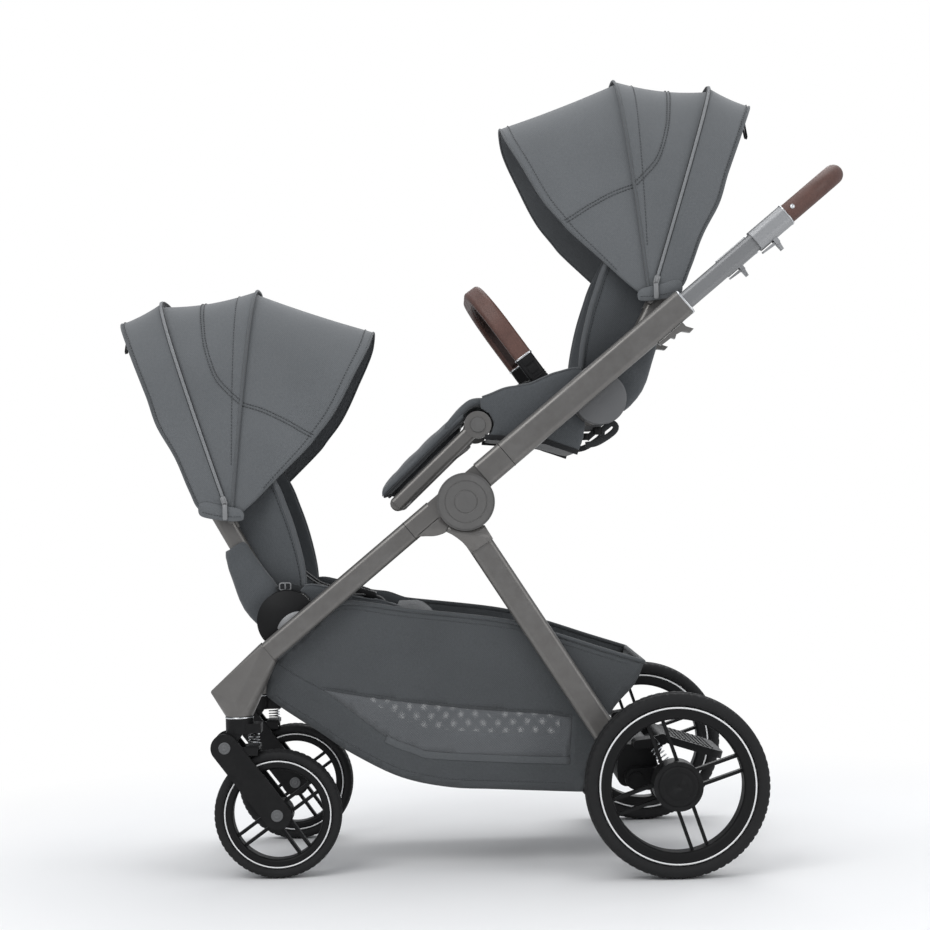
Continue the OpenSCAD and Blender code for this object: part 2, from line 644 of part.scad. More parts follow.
module fork() at_caster() {
    both() link_y(fork_pivot_x, fork_pivot_z, -wheelbase, front_axle_z, fork_arm_r,
        fork_in, fork_in + fork_arm_t);
    translate([fork_pivot_x, 0, fork_pivot_z]) bar_y(fork_pin_r, -fork_in - 1, fork_in + 1);
    translate([-wheelbase, 0, front_axle_z]) bar_y(front_axle_r, -fork_in - 1, fork_in + 1);
    translate([front_spring_x - front_spring_r - 1, -fork_in - 3, shelf_z])
        cube([2 * front_spring_r + 1, 2 * fork_in + 6, shelf_t]);
    both() translate([fork_pivot_x + 4, fork_in + 1, shelf_z - 9])
        cube([front_spring_x + front_spring_r - 2 - fork_pivot_x - 4, fork_arm_t - 3, shelf_t + 7]);
}
module front_spring() at_caster() translate([front_spring_x, 0, shelf_z + shelf_t + side_gap])
    coil(front_spring_r - spring_wire / 2, front_spring_h, front_spring_turns, spring_wire);
module caster_left() color(black_plastic) left() caster();
module caster_right() color(black_plastic) caster();
module fork_left() color(black_plastic) left() fork();
module fork_right() color(black_plastic) fork();
module front_spring_left() color(steel) left() front_spring();
module front_spring_right() color(steel) front_spring();

// Upper tubes with their guides, connectors, docks and triggers

guide_len = 30;
module at_upper() on_slope() translate([0, side_y, upper_offset]) children();
module upper_tubes() color(frame_grey) both() at_upper() {
    tube_x(tube_w, upper_tube_h, 9, tube_wall, connector_len, upper_tube_len);
    difference() {
        bar_x(tube_w - 2, upper_tube_h - 2, 8, upper_tube_len - guide_len, upper_tube_len);
        bar_x(inner_tube_w + 2 * side_gap, inner_tube_h + 2 * side_gap, 8, 0, upper_tube_len + 1);
    }
}
module upper_connectors() color(frame_grey) {
    both() at_upper() bar_x(tube_w, upper_tube_h, 9, hub_face, connector_len);
    both() on_slope() difference() {
        union() {
            bar_y(hub_r, in_y + plate_step, in_y + plate_step + plate_t);
            translate([0, in_y + plate_step, upper_offset - upper_tube_h / 2])
                cube([hub_face + 1, plate_t, hub_r + upper_tube_h / 2 - upper_offset - 8]);
        }
        bar_y(fold_pin_r + pin_gap, 0, out_y + 1);
    }
    both() stroller() dock(upper_seat_x, upper_seat_z, slope_z(upper_seat_along, upper_offset));
}

trigger_end = upper_tube_len - 24;
trigger_len = 52;
trigger_w = 16;
trigger_top = -upper_tube_h / 2 - side_gap;
module fold_triggers() color(frame_grey) both() at_upper() plate_y(-trigger_w / 2, trigger_w / 2)
    translate([trigger_end, trigger_top]) polygon([[-trigger_len, 0], [0, 0], [0, -8], [7, -19], [-1, -20],
        [-10, -10], [-20, -8], [-26, -12], [-29, -7], [3 - trigger_len, -6]]);

// Telescopic handle: two tubes, metal sleeves and one leather grip bent into a loop

sleeve_start = handle_reach - 181;
sleeve_end = sleeve_start + sleeve_len;
sleeve_w = 30;
module handle_tubes() color(steel) both() at_upper()
    tube_x(inner_tube_w, inner_tube_h, 8, 2, upper_tube_len - inner_tube_hidden, sleeve_start);
ear_z = -sleeve_h / 2 - 5;
ear_x = sleeve_start + 27;
module handle_sleeves() color(steel) both() at_upper() {
    bar_x(sleeve_w, sleeve_h, 13, sleeve_start, sleeve_end);
    both() link_y(ear_x, ear_z, ear_x, -sleeve_h / 2 + 4, 4, 7, 9.5);
    translate([ear_x, 0, ear_z]) bar_y(2, -8, 8);
}
module handle_grip() color(leather) on_slope() translate([0, 0, upper_offset]) {
    both() translate([sleeve_end, side_y, 0]) rotate([0, 90, 0])
        cylinder(r = grip_r, h = handle_reach - grip_bend - sleeve_end);
    both() translate([handle_reach - grip_bend, side_y - grip_bend, 0]) rotate_extrude(angle = 90)
        translate([grip_bend, 0]) circle(grip_r);
    translate([handle_reach, 0, 0]) bar_y(grip_r, -side_y + grip_bend, side_y - grip_bend);
}
module handle_triggers() color(steel) both() at_upper() translate([ear_x, 0, ear_z]) difference() {
    union() {
        bar_y(3.6, -6.6, 6.6);
        plate_y(-6.6, 6.6)
            polygon([[-28, 3.2], [0, 3.2], [3.4, -1], [1, -15], [-3, -15], [-3.4, -2], [-28, 0]]);
    }
    bar_y(2 + pin_gap, -20, 20);
}

// One seat, facing +X, with its hub at the origin

lift_gap = 0.3;
rail_h = 18;
board_t = 6;
socket_y = back_plate_in + 5;
bumper_foot_x = 88;
bumper_foot_z = 26;
module on_rails() rotate([0, atan2(seat_slope, seat_depth), 0]) children();
module at_bumper() translate([bumper_foot_x, 0, bumper_foot_z]) rotate([0, -bumper_angle, 0]) children();
module seat_frame() {
    both() {
        difference() {
            bar_y(seat_hub_r, plate_in, seat_half);
            translate([-dock_key_w / 2 - lift_gap, plate_in + 4, -seat_hub_r - 1])
                cube([dock_key_w + 2 * lift_gap, hub_plate_t, seat_hub_r + 1 + 17 + lift_gap]);
        }
        bar_y(recline_pin_r, rail_out - rail_t + 3, plate_in + 1);
        link_y(0, 0, seat_depth, -seat_slope, rail_h / 2, rail_out - rail_t, rail_out);
        at_bumper() difference() {
            translate([-24, rail_out - 2, -10]) cube([24, socket_y + 12 - rail_out, 20]);
            translate([-18, socket_y, 0]) rotate([0, 90, 0]) cylinder(r = 6 + lift_gap, h = 30);
        }
        link_y(52, -10, bumper_foot_x - 12, bumper_foot_z - 17, 8, rail_out - 2, rail_out + 4);
    }
    translate([seat_depth, 0, -seat_slope]) bar_y(8, -eye_out + 11, eye_out - 11);
    on_rails() translate([18, -rail_out + 1, rail_h / 2 - 1.5 - board_t])
        cube([seat_depth - 40, 2 * rail_out - 2, board_t]);
}

tub_drop = 87;
tub_top = 54;
tub_side = [
    [seat_depth - 2, 6], [seat_depth - 45, 23], [111, 29], [77, 43], [34, tub_top], [16, tub_top - 14],
    [25, -60], [36, -tub_drop], [97, -67], [seat_depth - 12, -57]
];
module seat_tub() difference() {
    plate_y(-tub_out, tub_out) polygon(tub_side);
    plate_y(-tub_out + tub_wall, tub_out - tub_wall) polygon([
        [seat_depth + 60, -57 + tub_wall], [seat_depth - 12, -57 + tub_wall], [97, -67 + tub_wall],
        [36, -tub_drop + tub_wall + 1], [-40, -tub_drop + tub_wall + 1], [-40, 100], [seat_depth + 60, 100]]);
    bar_y(seat_hub_r + side_gap, -200, 200);
    translate([seat_depth, 0, -seat_slope]) bar_y(legrest_eye_r + 1.5, -200, 200);
}

pad_half = rail_out - 5;
module seat_pad() on_rails() translate([8 + (seat_depth - 14) / 2, 0, rail_h / 2 + side_gap])
    pad(seat_depth - 16, 2 * pad_half, seat_pad_t, 6);

// Backrest: local x runs up the back, local z points to its front
module back_frame() {
    both() on_back() difference() {
        union() {
            bar_y(back_plate_r, back_plate_in, back_plate_out);
            translate([recline_pin_r + 3, back_tube_y, -6]) rotate([0, 90, 0])
                cylinder(r = back_tube_r, h = back_len - 60);
            translate([canopy_along, 0, 0]) bar_y(canopy_pin_r, back_tube_y, hood_half - canopy_t - side_gap);
            translate([canopy_along - 14, back_tube_y - 4, -9]) cube([28, 10, 9 + canopy_pin_r]);
        }
        bar_y(recline_pin_r + pin_gap, 0, seat_half);
    }
    on_back() translate([back_len - 60 + recline_pin_r, 0, -6])
        bar_y(back_tube_r - 1, -back_tube_y, back_tube_y);
}
back_side = [
    [24, -52], [80, -50], [canopy_along - 8, -32], [back_len, -22], [back_len, 50], [back_len - 100, 78],
    [200, 94], [167, 90], [40, 56], [30, 20]
];
back_corner = 70;
module back_shell() on_back() difference() {
    intersection() {
        plate_y(-back_out, back_out) polygon(back_side);
        translate([0, 0, -100]) linear_extrude(300) rounded_rect(2 * back_len, 2 * back_out, back_corner);
    }
    plate_y(-back_out + back_wall, back_out - back_wall) polygon([
        [0, -44], [80, -50 + back_wall], [canopy_along - 8, -32 + back_wall], [back_len - 7, -22 + back_wall],
        [back_len - 7, 300], [-60, 300], [-60, -44]]);
    bar_y(back_plate_r + 1, -200, 200);
    both() translate([canopy_along, 0, 0]) bar_y(canopy_pin_r + 1, back_out - back_wall - 1, seat_half);
}
back_pad_half = back_out - back_wall - 3;
back_pad_start = back_plate_r + 11;
back_pad_len = back_len - 74;
module back_pad() on_back() translate([back_pad_start + back_pad_len / 2, 0, canopy_pin_r + 2 * side_gap])
    pad(back_pad_len, 2 * back_pad_half, back_pad_t, 8);

module hood_outline(r, half, corner) intersection() {
    rounded_rect(2 * r, 2 * half, corner);
    translate([hood_eye_r - 3, -half - 1]) square([r + 1, 2 * half + 2]);
}
module hood_panel(layer, from, to, cut = []) {
    r = canopy_r - layer * hood_step;
    half = hood_half - layer * hood_step;
    corner = canopy_corner - layer * hood_step;
    at_hood() rotate([90, 0, 0]) difference() {
        union() {
            difference() {
                rotate([0, 0, from]) rotate_extrude(angle = to - from, $fn = 120) difference() {
                    hood_outline(r, half, corner);
                    hood_outline(r - canopy_t, half - canopy_t, corner - canopy_t);
                }
                if (len(cut) > 0) linear_extrude(3 * half, center = true) polygon(cut);
            }
            for (s = [0, 1]) mirror([0, 0, s]) translate([0, 0, half - canopy_t + 0.3])
                cylinder(r = hood_eye_r, h = canopy_t - 0.6);
        }
        if (layer > 0) cylinder(r = canopy_pin_r + pin_gap, h = 3 * half, center = true);
    }
}
module hood_rear() hood_panel(0, hood_zip_angle, hood_rear_angle + 44, hood_rear_cut);
module hood_mid() hood_panel(1, hood_bow_angle, hood_zip_angle + hood_overlap);
module hood_visor() hood_panel(2, hood_rear_angle - 80, hood_bow_angle + hood_overlap, hood_front_cut);

eye_out = tub_out + 1;
eye_in = back_plate_in + 1;
legrest_y = (eye_out + eye_in) / 2;
button_depth = 10;
module legrest_frame() at_legrest() {
    both() difference() {
        union() {
            bar_y(legrest_eye_r, eye_in, eye_out);
            translate([0, legrest_y, 0]) bar_x(eye_out - eye_in - 2, 2 * legrest_tube_r, 7, 10, legrest_len);
        }
        bar_y(8 + pin_gap, 0, eye_out + 1);
        bar_y(button_r + side_gap, eye_out - button_depth, eye_out + 1);
    }
    translate([legrest_len - legrest_tube_r, 0, 0]) bar_y(legrest_tube_r - 1, -eye_in - 1, eye_in + 1);
}
legrest_pad_start = sqrt(pow(legrest_eye_r, 2) - pow(legrest_tube_r, 2)) + 1;
legrest_pad_len = legrest_len - 5 - legrest_pad_start;
module legrest_pad() at_legrest()
    translate([legrest_pad_start + legrest_pad_len / 2, 0, legrest_tube_r + side_gap])
        pad(legrest_pad_len, 2 * eye_out - 8, legrest_pad_t, 5);
module legrest_button() at_legrest() bar_y(button_r, eye_out - button_depth + 4, eye_out + 2);

// Bumper bar on the upper seat: plug-in ends and a leather bow
bumper_sleeve = 56;
module bumper_ends() color(black_plastic) upper_seat() both() at_bumper() translate([0, socket_y, 0]) {
    translate([-17, 0, 0]) rotate([0, 90, 0]) cylinder(r = 6, h = 18);
    bar_x(bumper_t, bumper_w, 6, side_gap, bumper_sleeve);
}
module bumper_grip() color(leather) upper_seat() at_bumper() {
    both() translate([0, socket_y, 0])
        bar_x(bumper_t + 1, bumper_w + 1, 7, bumper_sleeve, bumper_len - bumper_bend);
    both() translate([bumper_len - bumper_bend, socket_y - bumper_bend, 0]) rotate_extrude(angle = 90)
        translate([bumper_bend, 0]) rounded_rect(bumper_t + 1, bumper_w + 1, 7);
    translate([bumper_len, 0, 0]) plate_y(-socket_y + bumper_bend, socket_y - bumper_bend)
        rounded_rect(bumper_t + 1, bumper_w + 1, 7);
}

module upper_seat_frame() color(frame_grey) upper_seat() seat_frame();
module upper_seat_tub() color(dark_fabric) upper_seat() seat_tub();
module upper_seat_pad() color(dark_fabric) upper_seat() seat_pad();
module upper_back_frame() color(frame_grey) upper_seat() back_frame();
module upper_back_shell() color(dark_fabric) upper_seat() back_shell();
module upper_back_pad() color(dark_fabric) upper_seat() back_pad();
module upper_canopy_rear() color(fabric_grey) upper_seat() hood_rear();
module upper_canopy_mid() color(fabric_grey) upper_seat() hood_mid();
module upper_canopy_visor() color(fabric_grey) upper_seat() hood_visor();
module upper_legrest_frame() color(frame_grey) upper_seat() legrest_frame();
module upper_legrest_pad() color(dark_fabric) upper_seat() legrest_pad();
module legrest_button_left() color(frame_grey) upper_seat() left() legrest_button();
module legrest_button_right() color(frame_grey) upper_seat() legrest_button();
module lower_seat_frame() color(black_plastic) lower_seat() seat_frame();
module lower_seat_tub() color(dark_fabric) lower_seat() seat_tub();
module lower_seat_pad() color(dark_fabric) lower_seat() seat_pad();
module lower_back_frame() color(frame_grey) lower_seat() back_frame();
module lower_back_shell() color(dark_fabric) lower_seat() back_shell();
module lower_back_pad() color(dark_fabric) lower_seat() back_pad();
module lower_canopy_rear() color(fabric_grey) lower_seat() hood_rear();
module lower_canopy_mid() color(fabric_grey) lower_seat() hood_mid();
module lower_canopy_visor() color(fabric_grey) lower_seat() hood_visor();
module lower_legrest_frame() color(frame_grey) lower_seat() legrest_frame();
module lower_legrest_pad() color(dark_fabric) lower_seat() legrest_pad();

echo(rear_coil_gap = coil_gap(rear_spring_r - spring_wire / 2, rear_spring_h - 2 * side_gap,
    rear_spring_turns, spring_wire));
echo(front_coil_gap = coil_gap(front_spring_r - spring_wire / 2, front_spring_h,
    front_spring_turns, spring_wire));

rear_leg_tubes();
rear_leg_connectors();
rear_axle_housing();
rear_springs();
basket();
rear_arm_left();
rear_arm_right();
rear_tyre_left();
rear_tyre_right();
rear_rim_left();
rear_rim_right();
brake_pedal();
front_leg_tubes();
front_leg_connectors();
front_knuckles();
front_crossbar();
hub_covers();
caster_left();
caster_right();
fork_left();
fork_right();
front_spring_left();
front_spring_right();
front_tyre_left();
front_tyre_right();
front_rim_left();
front_rim_right();
upper_tubes();
upper_connectors();
fold_triggers();
handle_tubes();
handle_sleeves();
handle_grip();
handle_triggers();
upper_seat_frame();
upper_seat_tub();
upper_seat_pad();
upper_back_frame();
upper_back_shell();
upper_back_pad();
upper_canopy_rear();
upper_canopy_mid();
upper_canopy_visor();
upper_legrest_frame();
upper_legrest_pad();
legrest_button_left();
legrest_button_right();
bumper_grip();
bumper_ends();
lower_seat_frame();
lower_seat_tub();
lower_seat_pad();
lower_back_frame();
lower_back_shell();
lower_back_pad();
lower_canopy_rear();
lower_canopy_mid();
lower_canopy_visor();
lower_legrest_frame();
lower_legrest_pad();
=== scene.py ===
import bpy, bmesh, json, math
import numpy as np
from mathutils import Matrix, Vector
from mathutils.geometry import delaunay_2d_cdt, intersect_point_line


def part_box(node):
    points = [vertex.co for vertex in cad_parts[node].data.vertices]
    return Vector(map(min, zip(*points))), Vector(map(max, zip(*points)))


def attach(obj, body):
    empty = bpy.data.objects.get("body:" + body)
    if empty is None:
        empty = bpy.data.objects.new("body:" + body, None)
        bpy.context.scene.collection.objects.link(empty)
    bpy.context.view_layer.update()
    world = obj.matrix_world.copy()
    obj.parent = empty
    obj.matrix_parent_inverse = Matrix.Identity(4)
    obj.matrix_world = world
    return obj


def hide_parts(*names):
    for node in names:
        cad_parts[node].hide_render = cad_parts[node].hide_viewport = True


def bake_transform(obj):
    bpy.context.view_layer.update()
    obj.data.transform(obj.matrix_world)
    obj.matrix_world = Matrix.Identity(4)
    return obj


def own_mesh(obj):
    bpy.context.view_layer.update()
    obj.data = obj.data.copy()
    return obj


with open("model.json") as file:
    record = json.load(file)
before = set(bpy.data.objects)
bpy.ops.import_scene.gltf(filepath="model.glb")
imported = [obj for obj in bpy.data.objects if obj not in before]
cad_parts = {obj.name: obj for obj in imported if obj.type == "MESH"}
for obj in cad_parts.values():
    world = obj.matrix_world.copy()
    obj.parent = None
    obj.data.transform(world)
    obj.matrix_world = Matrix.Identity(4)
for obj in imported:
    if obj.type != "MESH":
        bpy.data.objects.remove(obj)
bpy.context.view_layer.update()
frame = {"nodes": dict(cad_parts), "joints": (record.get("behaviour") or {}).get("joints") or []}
nodes = frame["nodes"]
joints = {j["name"]: j for j in frame["joints"]}
print("frame loaded:", len(nodes), "solids")

# every length below is in millimetres, seen from the side: x from the rear axle, z from the floor
axleSpot = (Vector(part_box("rear_tyre_left")[0]) + Vector(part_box("rear_tyre_left")[1])) * 500
shiftX = axleSpot.x


def spot(x, z, y=0.0):
    return Vector((x + shiftX, y, z))


def jointSpot(name):
    return Vector(joints[name]["pos_m"]) * 1000


# camera and light
cameraFit = dict(x=-341, y=-3255, z=587, yaw=0.55, pitch=1.07, roll=-1.58, focalPixels=1932, framePixels=930)


def makeCamera():
    yaw, pitch, roll = (math.radians(cameraFit[k]) for k in ("yaw", "pitch", "roll"))
    ahead = Vector((math.sin(yaw) * math.cos(pitch), math.cos(yaw) * math.cos(pitch), math.sin(pitch)))
    side = Vector((math.cos(yaw), -math.sin(yaw), 0))
    up = side.cross(ahead)
    side2 = side * math.cos(roll) + up * math.sin(roll)
    up2 = side2.cross(ahead)
    data = bpy.data.cameras.new("photoCamera")
    data.sensor_width = 36
    data.lens = 36 * cameraFit["focalPixels"] / cameraFit["framePixels"]
    cam = bpy.data.objects.new("photoCamera", data)
    bpy.context.collection.objects.link(cam)
    turn = Matrix((side2, up2, -ahead)).transposed()
    cam.matrix_world = Matrix.Translation(
        spot(cameraFit["x"], cameraFit["z"], cameraFit["y"]) / 1000
    ) @ turn.to_4x4()
    bpy.context.scene.camera = cam


lampSet = [  # name, place, size, power
    ("keyLamp", (-1.7, -2.6, 3.0), 2.4, 62),
    ("fillLamp", (2.4, -2.2, 1.7), 2.2, 26),
    ("topLamp", (0.2, 0.6, 3.4), 2.6, 48),
    ("backLamp", (0.6, 3.0, 2.0), 2.2, 30),
]


def makeLight():
    for name, place, size, power in lampSet:
        data = bpy.data.lights.new(name, "AREA")
        data.energy, data.size = power, size
        lamp = bpy.data.objects.new(name, data)
        bpy.context.collection.objects.link(lamp)
        lamp.location = place
        lamp.rotation_euler = (Vector((0, 0, 0.6)) - Vector(place)).to_track_quat("-Z", "Y").to_euler()
    world = bpy.data.worlds.new("studioWorld")
    bpy.context.scene.world = world
    world.use_nodes = True
    tree = world.node_tree
    tree.nodes.clear()
    out = tree.nodes.new("ShaderNodeOutputWorld")
    mix = tree.nodes.new("ShaderNodeMixShader")
    path = tree.nodes.new("ShaderNodeLightPath")
    soft = tree.nodes.new("ShaderNodeBackground")
    white = tree.nodes.new("ShaderNodeBackground")
    soft.inputs["Color"].default_value = (0.92, 0.95, 1, 1)
    soft.inputs["Strength"].default_value = 0.5
    white.inputs["Color"].default_value = (1, 1, 1, 1)
    tree.links.new(path.outputs["Is Camera Ray"], mix.inputs[0])
    tree.links.new(soft.outputs[0], mix.inputs[1])
    tree.links.new(white.outputs[0], mix.inputs[2])
    tree.links.new(mix.outputs[0], out.inputs[0])
    bpy.context.scene.view_settings.view_transform = "Standard"


makeCamera()
makeLight()


# shared surface effects, one node group each
surfaceOuts = [("Color", "Color"), ("Height", "Float"), ("Roughness", "Float")]


def newGroup(name, ins, outs):
    group = bpy.data.node_groups.new(name, "ShaderNodeTree")
    for socket, kind, value in ins:
        made = group.interface.new_socket(name=socket, in_out="INPUT", socket_type="NodeSocket" + kind)
        made.default_value = value
    for socket, kind in outs:
        group.interface.new_socket(name=socket, in_out="OUTPUT", socket_type="NodeSocket" + kind)
    return group, group.nodes.new("NodeGroupInput"), group.nodes.new("NodeGroupOutput")


def mathNode(tree, op, a, b=None, clamp=False):
    node = tree.nodes.new("ShaderNodeMath")
    node.operation, node.use_clamp = op, clamp
    for i, v in enumerate((a, b)):
        if v is None:
            continue
        if isinstance(v, (int, float)):
            node.inputs[i].default_value = v
        else:
            tree.links.new(v, node.inputs[i])
    return node.outputs[0]


def mixColor(tree, factor, a, b, blend="MIX"):
    node = tree.nodes.new("ShaderNodeMix")
    node.data_type, node.blend_type = "RGBA", blend
    for socket, v in ((node.inputs[0], factor), (node.inputs[6], a), (node.inputs[7], b)):
        if isinstance(v, (int, float, tuple)):
            socket.default_value = v
        else:
            tree.links.new(v, socket)
    return node.outputs[2]


def ramp(tree, value, low, high):
    node = tree.nodes.new("ShaderNodeMapRange")
    node.inputs[1].default_value, node.inputs[2].default_value = low, high
    tree.links.new(value, node.inputs[0])
    return node.outputs[0]


def noiseNode(tree, vector, scale, detail=2.0, rough=0.5):
    node = tree.nodes.new("ShaderNodeTexNoise")
    if isinstance(scale, (int, float)):
        node.inputs["Scale"].default_value = scale
    else:
        tree.links.new(scale, node.inputs["Scale"])
    node.inputs["Detail"].default_value, node.inputs["Roughness"].default_value = detail, rough
    tree.links.new(vector, node.inputs["Vector"])
    return node.outputs["Fac"]


def shaded(tree, color, by):  # a colour made lighter or darker
    node = tree.nodes.new("ShaderNodeVectorMath")
    node.operation = "SCALE"
    tree.links.new(color, node.inputs[0])
    tree.links.new(by, node.inputs["Scale"])
    return node.outputs[0]


# plain weave of crossing threads, laid on from the side a surface faces, with heathered yarn
def weaveGroup():
    ins = [
        ("Thread", "Color", (0.2, 0.2, 0.2, 1)), ("Shade", "Color", (0.1, 0.1, 0.1, 1)),
        ("Threads", "Float", 900.0), ("Heather", "Float", 0.35),
    ]
    g, gin, gout = newGroup("clothWeave", ins, surfaceOuts)
    where = g.nodes.new("ShaderNodeTexCoord")
    scaled = g.nodes.new("ShaderNodeVectorMath")
    scaled.operation = "SCALE"
    g.links.new(where.outputs["Object"], scaled.inputs[0])
    g.links.new(mathNode(g, "MULTIPLY", gin.outputs["Threads"], math.pi), scaled.inputs["Scale"])
    axes = g.nodes.new("ShaderNodeSeparateXYZ")
    g.links.new(scaled.outputs[0], axes.inputs[0])
    facing = g.nodes.new("ShaderNodeSeparateXYZ")
    g.links.new(where.outputs["Normal"], facing.inputs[0])
    sx, sy, sz = (mathNode(g, "SINE", axes.outputs[i]) for i in range(3))
    wx, wy, wz = (mathNode(g, "POWER", mathNode(g, "ABSOLUTE", facing.outputs[i]), 3) for i in range(3))
    parts = [
        mathNode(g, "MULTIPLY", mathNode(g, "MULTIPLY", a, b), w)
        for a, b, w in ((sy, sz, wx), (sx, sz, wy), (sx, sy, wz))
    ]
    woven = mathNode(g, "ADD", mathNode(g, "ADD", parts[0], parts[1]), parts[2])
    height = mathNode(g, "ADD", mathNode(g, "MULTIPLY", woven, 0.5), 0.5)
    yarn = noiseNode(g, where.outputs["Object"], 420, 3, 0.7)
    cloud = noiseNode(g, where.outputs["Object"], 9, 2, 0.5)
    blendTo = mathNode(
        g, "ADD", mathNode(g, "MULTIPLY", height, 0.35),
        mathNode(g, "MULTIPLY", ramp(g, yarn, 0.3, 0.7), gin.outputs["Heather"]), True
    )
    blendTo = mathNode(g, "ADD", blendTo, mathNode(g, "MULTIPLY", ramp(g, cloud, 0.3, 0.7), 0.22), True)
    g.links.new(mixColor(g, blendTo, gin.outputs["Shade"], gin.outputs["Thread"]), gout.inputs["Color"])
    g.links.new(height, gout.inputs["Height"])
    g.links.new(mathNode(g, "SUBTRACT", 0.96, mathNode(g, "MULTIPLY", yarn, 0.14)), gout.inputs["Roughness"])
    return g


def grainGroup():  # moulded or sprayed grain with a little soft mottling
    ins = [
        ("Color", "Color", (0.1, 0.1, 0.1, 1)), ("Fineness", "Float", 1500.0),
        ("Mottle", "Float", 0.12), ("Gloss", "Float", 0.5),
    ]
    g, gin, gout = newGroup("fineGrain", ins, surfaceOuts)
    where = g.nodes.new("ShaderNodeTexCoord")
    fine = noiseNode(g, where.outputs["Object"], gin.outputs["Fineness"], 2, 0.6)
    broad = noiseNode(g, where.outputs["Object"], 14, 3, 0.55)
    shade = mathNode(
        g, "ADD", mathNode(g, "MULTIPLY", mathNode(g, "SUBTRACT", broad, 0.5), gin.outputs["Mottle"]), 1
    )
    g.links.new(shaded(g, gin.outputs["Color"], shade), gout.inputs["Color"])
    g.links.new(fine, gout.inputs["Height"])
    g.links.new(
        mathNode(
            g, "ADD", gin.outputs["Gloss"],
            mathNode(g, "MULTIPLY", mathNode(g, "SUBTRACT", broad, 0.5), 0.25)
        ),
        gout.inputs["Roughness"]
    )
    return g


def wearGroup():  # edges rubbed paler
    ins = [
        ("Color", "Color", (0.1, 0.1, 0.1, 1)), ("Worn", "Color", (0.3, 0.3, 0.3, 1)),
        ("Amount", "Float", 0.4),
    ]
    g, gin, gout = newGroup("edgeWear", ins, [("Color", "Color"), ("Mask", "Float")])
    shape = g.nodes.new("ShaderNodeNewGeometry")
    where = g.nodes.new("ShaderNodeTexCoord")
    broken = noiseNode(g, where.outputs["Object"], 60, 4, 0.65)
    edge = ramp(g, shape.outputs["Pointiness"], 0.52, 0.62)
    mask = mathNode(
        g, "MULTIPLY", mathNode(g, "MULTIPLY", edge, ramp(g, broken, 0.35, 0.7)), gin.outputs["Amount"],
        True
    )
    g.links.new(mixColor(g, mask, gin.outputs["Color"], gin.outputs["Worn"]), gout.inputs["Color"])
    g.links.new(mask, gout.inputs["Mask"])
    return g


def brushGroup():  # long fine lines along the frame's slope
    ins = [("Color", "Color", (0.4, 0.4, 0.4, 1)), ("Depth", "Float", 0.05)]
    g, gin, gout = newGroup("brushLines", ins, surfaceOuts)
    where = g.nodes.new("ShaderNodeTexCoord")
    lay = g.nodes.new("ShaderNodeMapping")
    lay.vector_type = "TEXTURE"
    lay.inputs["Rotation"].default_value = (0, math.radians(-36), 0)
    lay.inputs["Scale"].default_value = (1 / 6, 1 / 900, 1 / 900)
    g.links.new(where.outputs["Object"], lay.inputs["Vector"])
    line = noiseNode(g, lay.outputs[0], 1.0, 2, 0.5)
    streak = mathNode(g, "MULTIPLY", mathNode(g, "SUBTRACT", line, 0.5), gin.outputs["Depth"])
    g.links.new(shaded(g, gin.outputs["Color"], mathNode(g, "ADD", streak, 1)), gout.inputs["Color"])
    g.links.new(line, gout.inputs["Height"])
    g.links.new(mathNode(g, "ADD", 0.42, mathNode(g, "MULTIPLY", line, 0.05)), gout.inputs["Roughness"])
    return g


def hideGroup():  # pebbled leather with darker creases
    ins = [
        ("Color", "Color", (0.2, 0.1, 0.08, 1)), ("Crease", "Color", (0.08, 0.04, 0.03, 1)),
        ("Pebbles", "Float", 620.0),
    ]
    g, gin, gout = newGroup("leatherHide", ins, surfaceOuts)
    where = g.nodes.new("ShaderNodeTexCoord")
    cells = g.nodes.new("ShaderNodeTexVoronoi")
    cells.feature = "DISTANCE_TO_EDGE"
    g.links.new(where.outputs["Object"], cells.inputs["Vector"])
    g.links.new(gin.outputs["Pebbles"], cells.inputs["Scale"])
    pebble = ramp(g, cells.outputs["Distance"], 0.0, 0.25)
    cloud = noiseNode(g, where.outputs["Object"], 30, 4, 0.6)
    tone = mathNode(
        g, "ADD", mathNode(g, "MULTIPLY", pebble, 0.55),
        mathNode(g, "MULTIPLY", ramp(g, cloud, 0.25, 0.75), 0.45), True
    )
    g.links.new(mixColor(g, tone, gin.outputs["Crease"], gin.outputs["Color"]), gout.inputs["Color"])
    g.links.new(pebble, gout.inputs["Height"])
    g.links.new(
        mathNode(g, "SUBTRACT", 0.62, mathNode(g, "MULTIPLY", pebble, 0.14)), gout.inputs["Roughness"]
    )
    return g


def netGroup():  # open mesh: crossing slanted threads round small holes
    g, gin, gout = newGroup(
        "netHoles", [("Pitch", "Float", 300.0), ("Width", "Float", 0.6)], [("Mask", "Float")]
    )
    where = g.nodes.new("ShaderNodeTexCoord")
    axes = g.nodes.new("ShaderNodeSeparateXYZ")
    g.links.new(where.outputs["Object"], axes.inputs[0])
    turn = mathNode(g, "MULTIPLY", gin.outputs["Pitch"], math.pi)
    a = mathNode(g, "ADD", axes.outputs[0], axes.outputs[2])
    b = mathNode(g, "SUBTRACT", axes.outputs[0], axes.outputs[2])
    rows = [mathNode(g, "ABSOLUTE", mathNode(g, "SINE", mathNode(g, "MULTIPLY", v, turn))) for v in (a, b)]
    hole = mathNode(g, "MINIMUM", rows[0], rows[1])
    g.links.new(mathNode(g, "LESS_THAN", hole, gin.outputs["Width"]), gout.inputs["Mask"])
    return g


groups = dict(
    net=netGroup(), weave=weaveGroup(), grain=grainGroup(), wear=wearGroup(), brush=brushGroup(),
    hide=hideGroup()
)


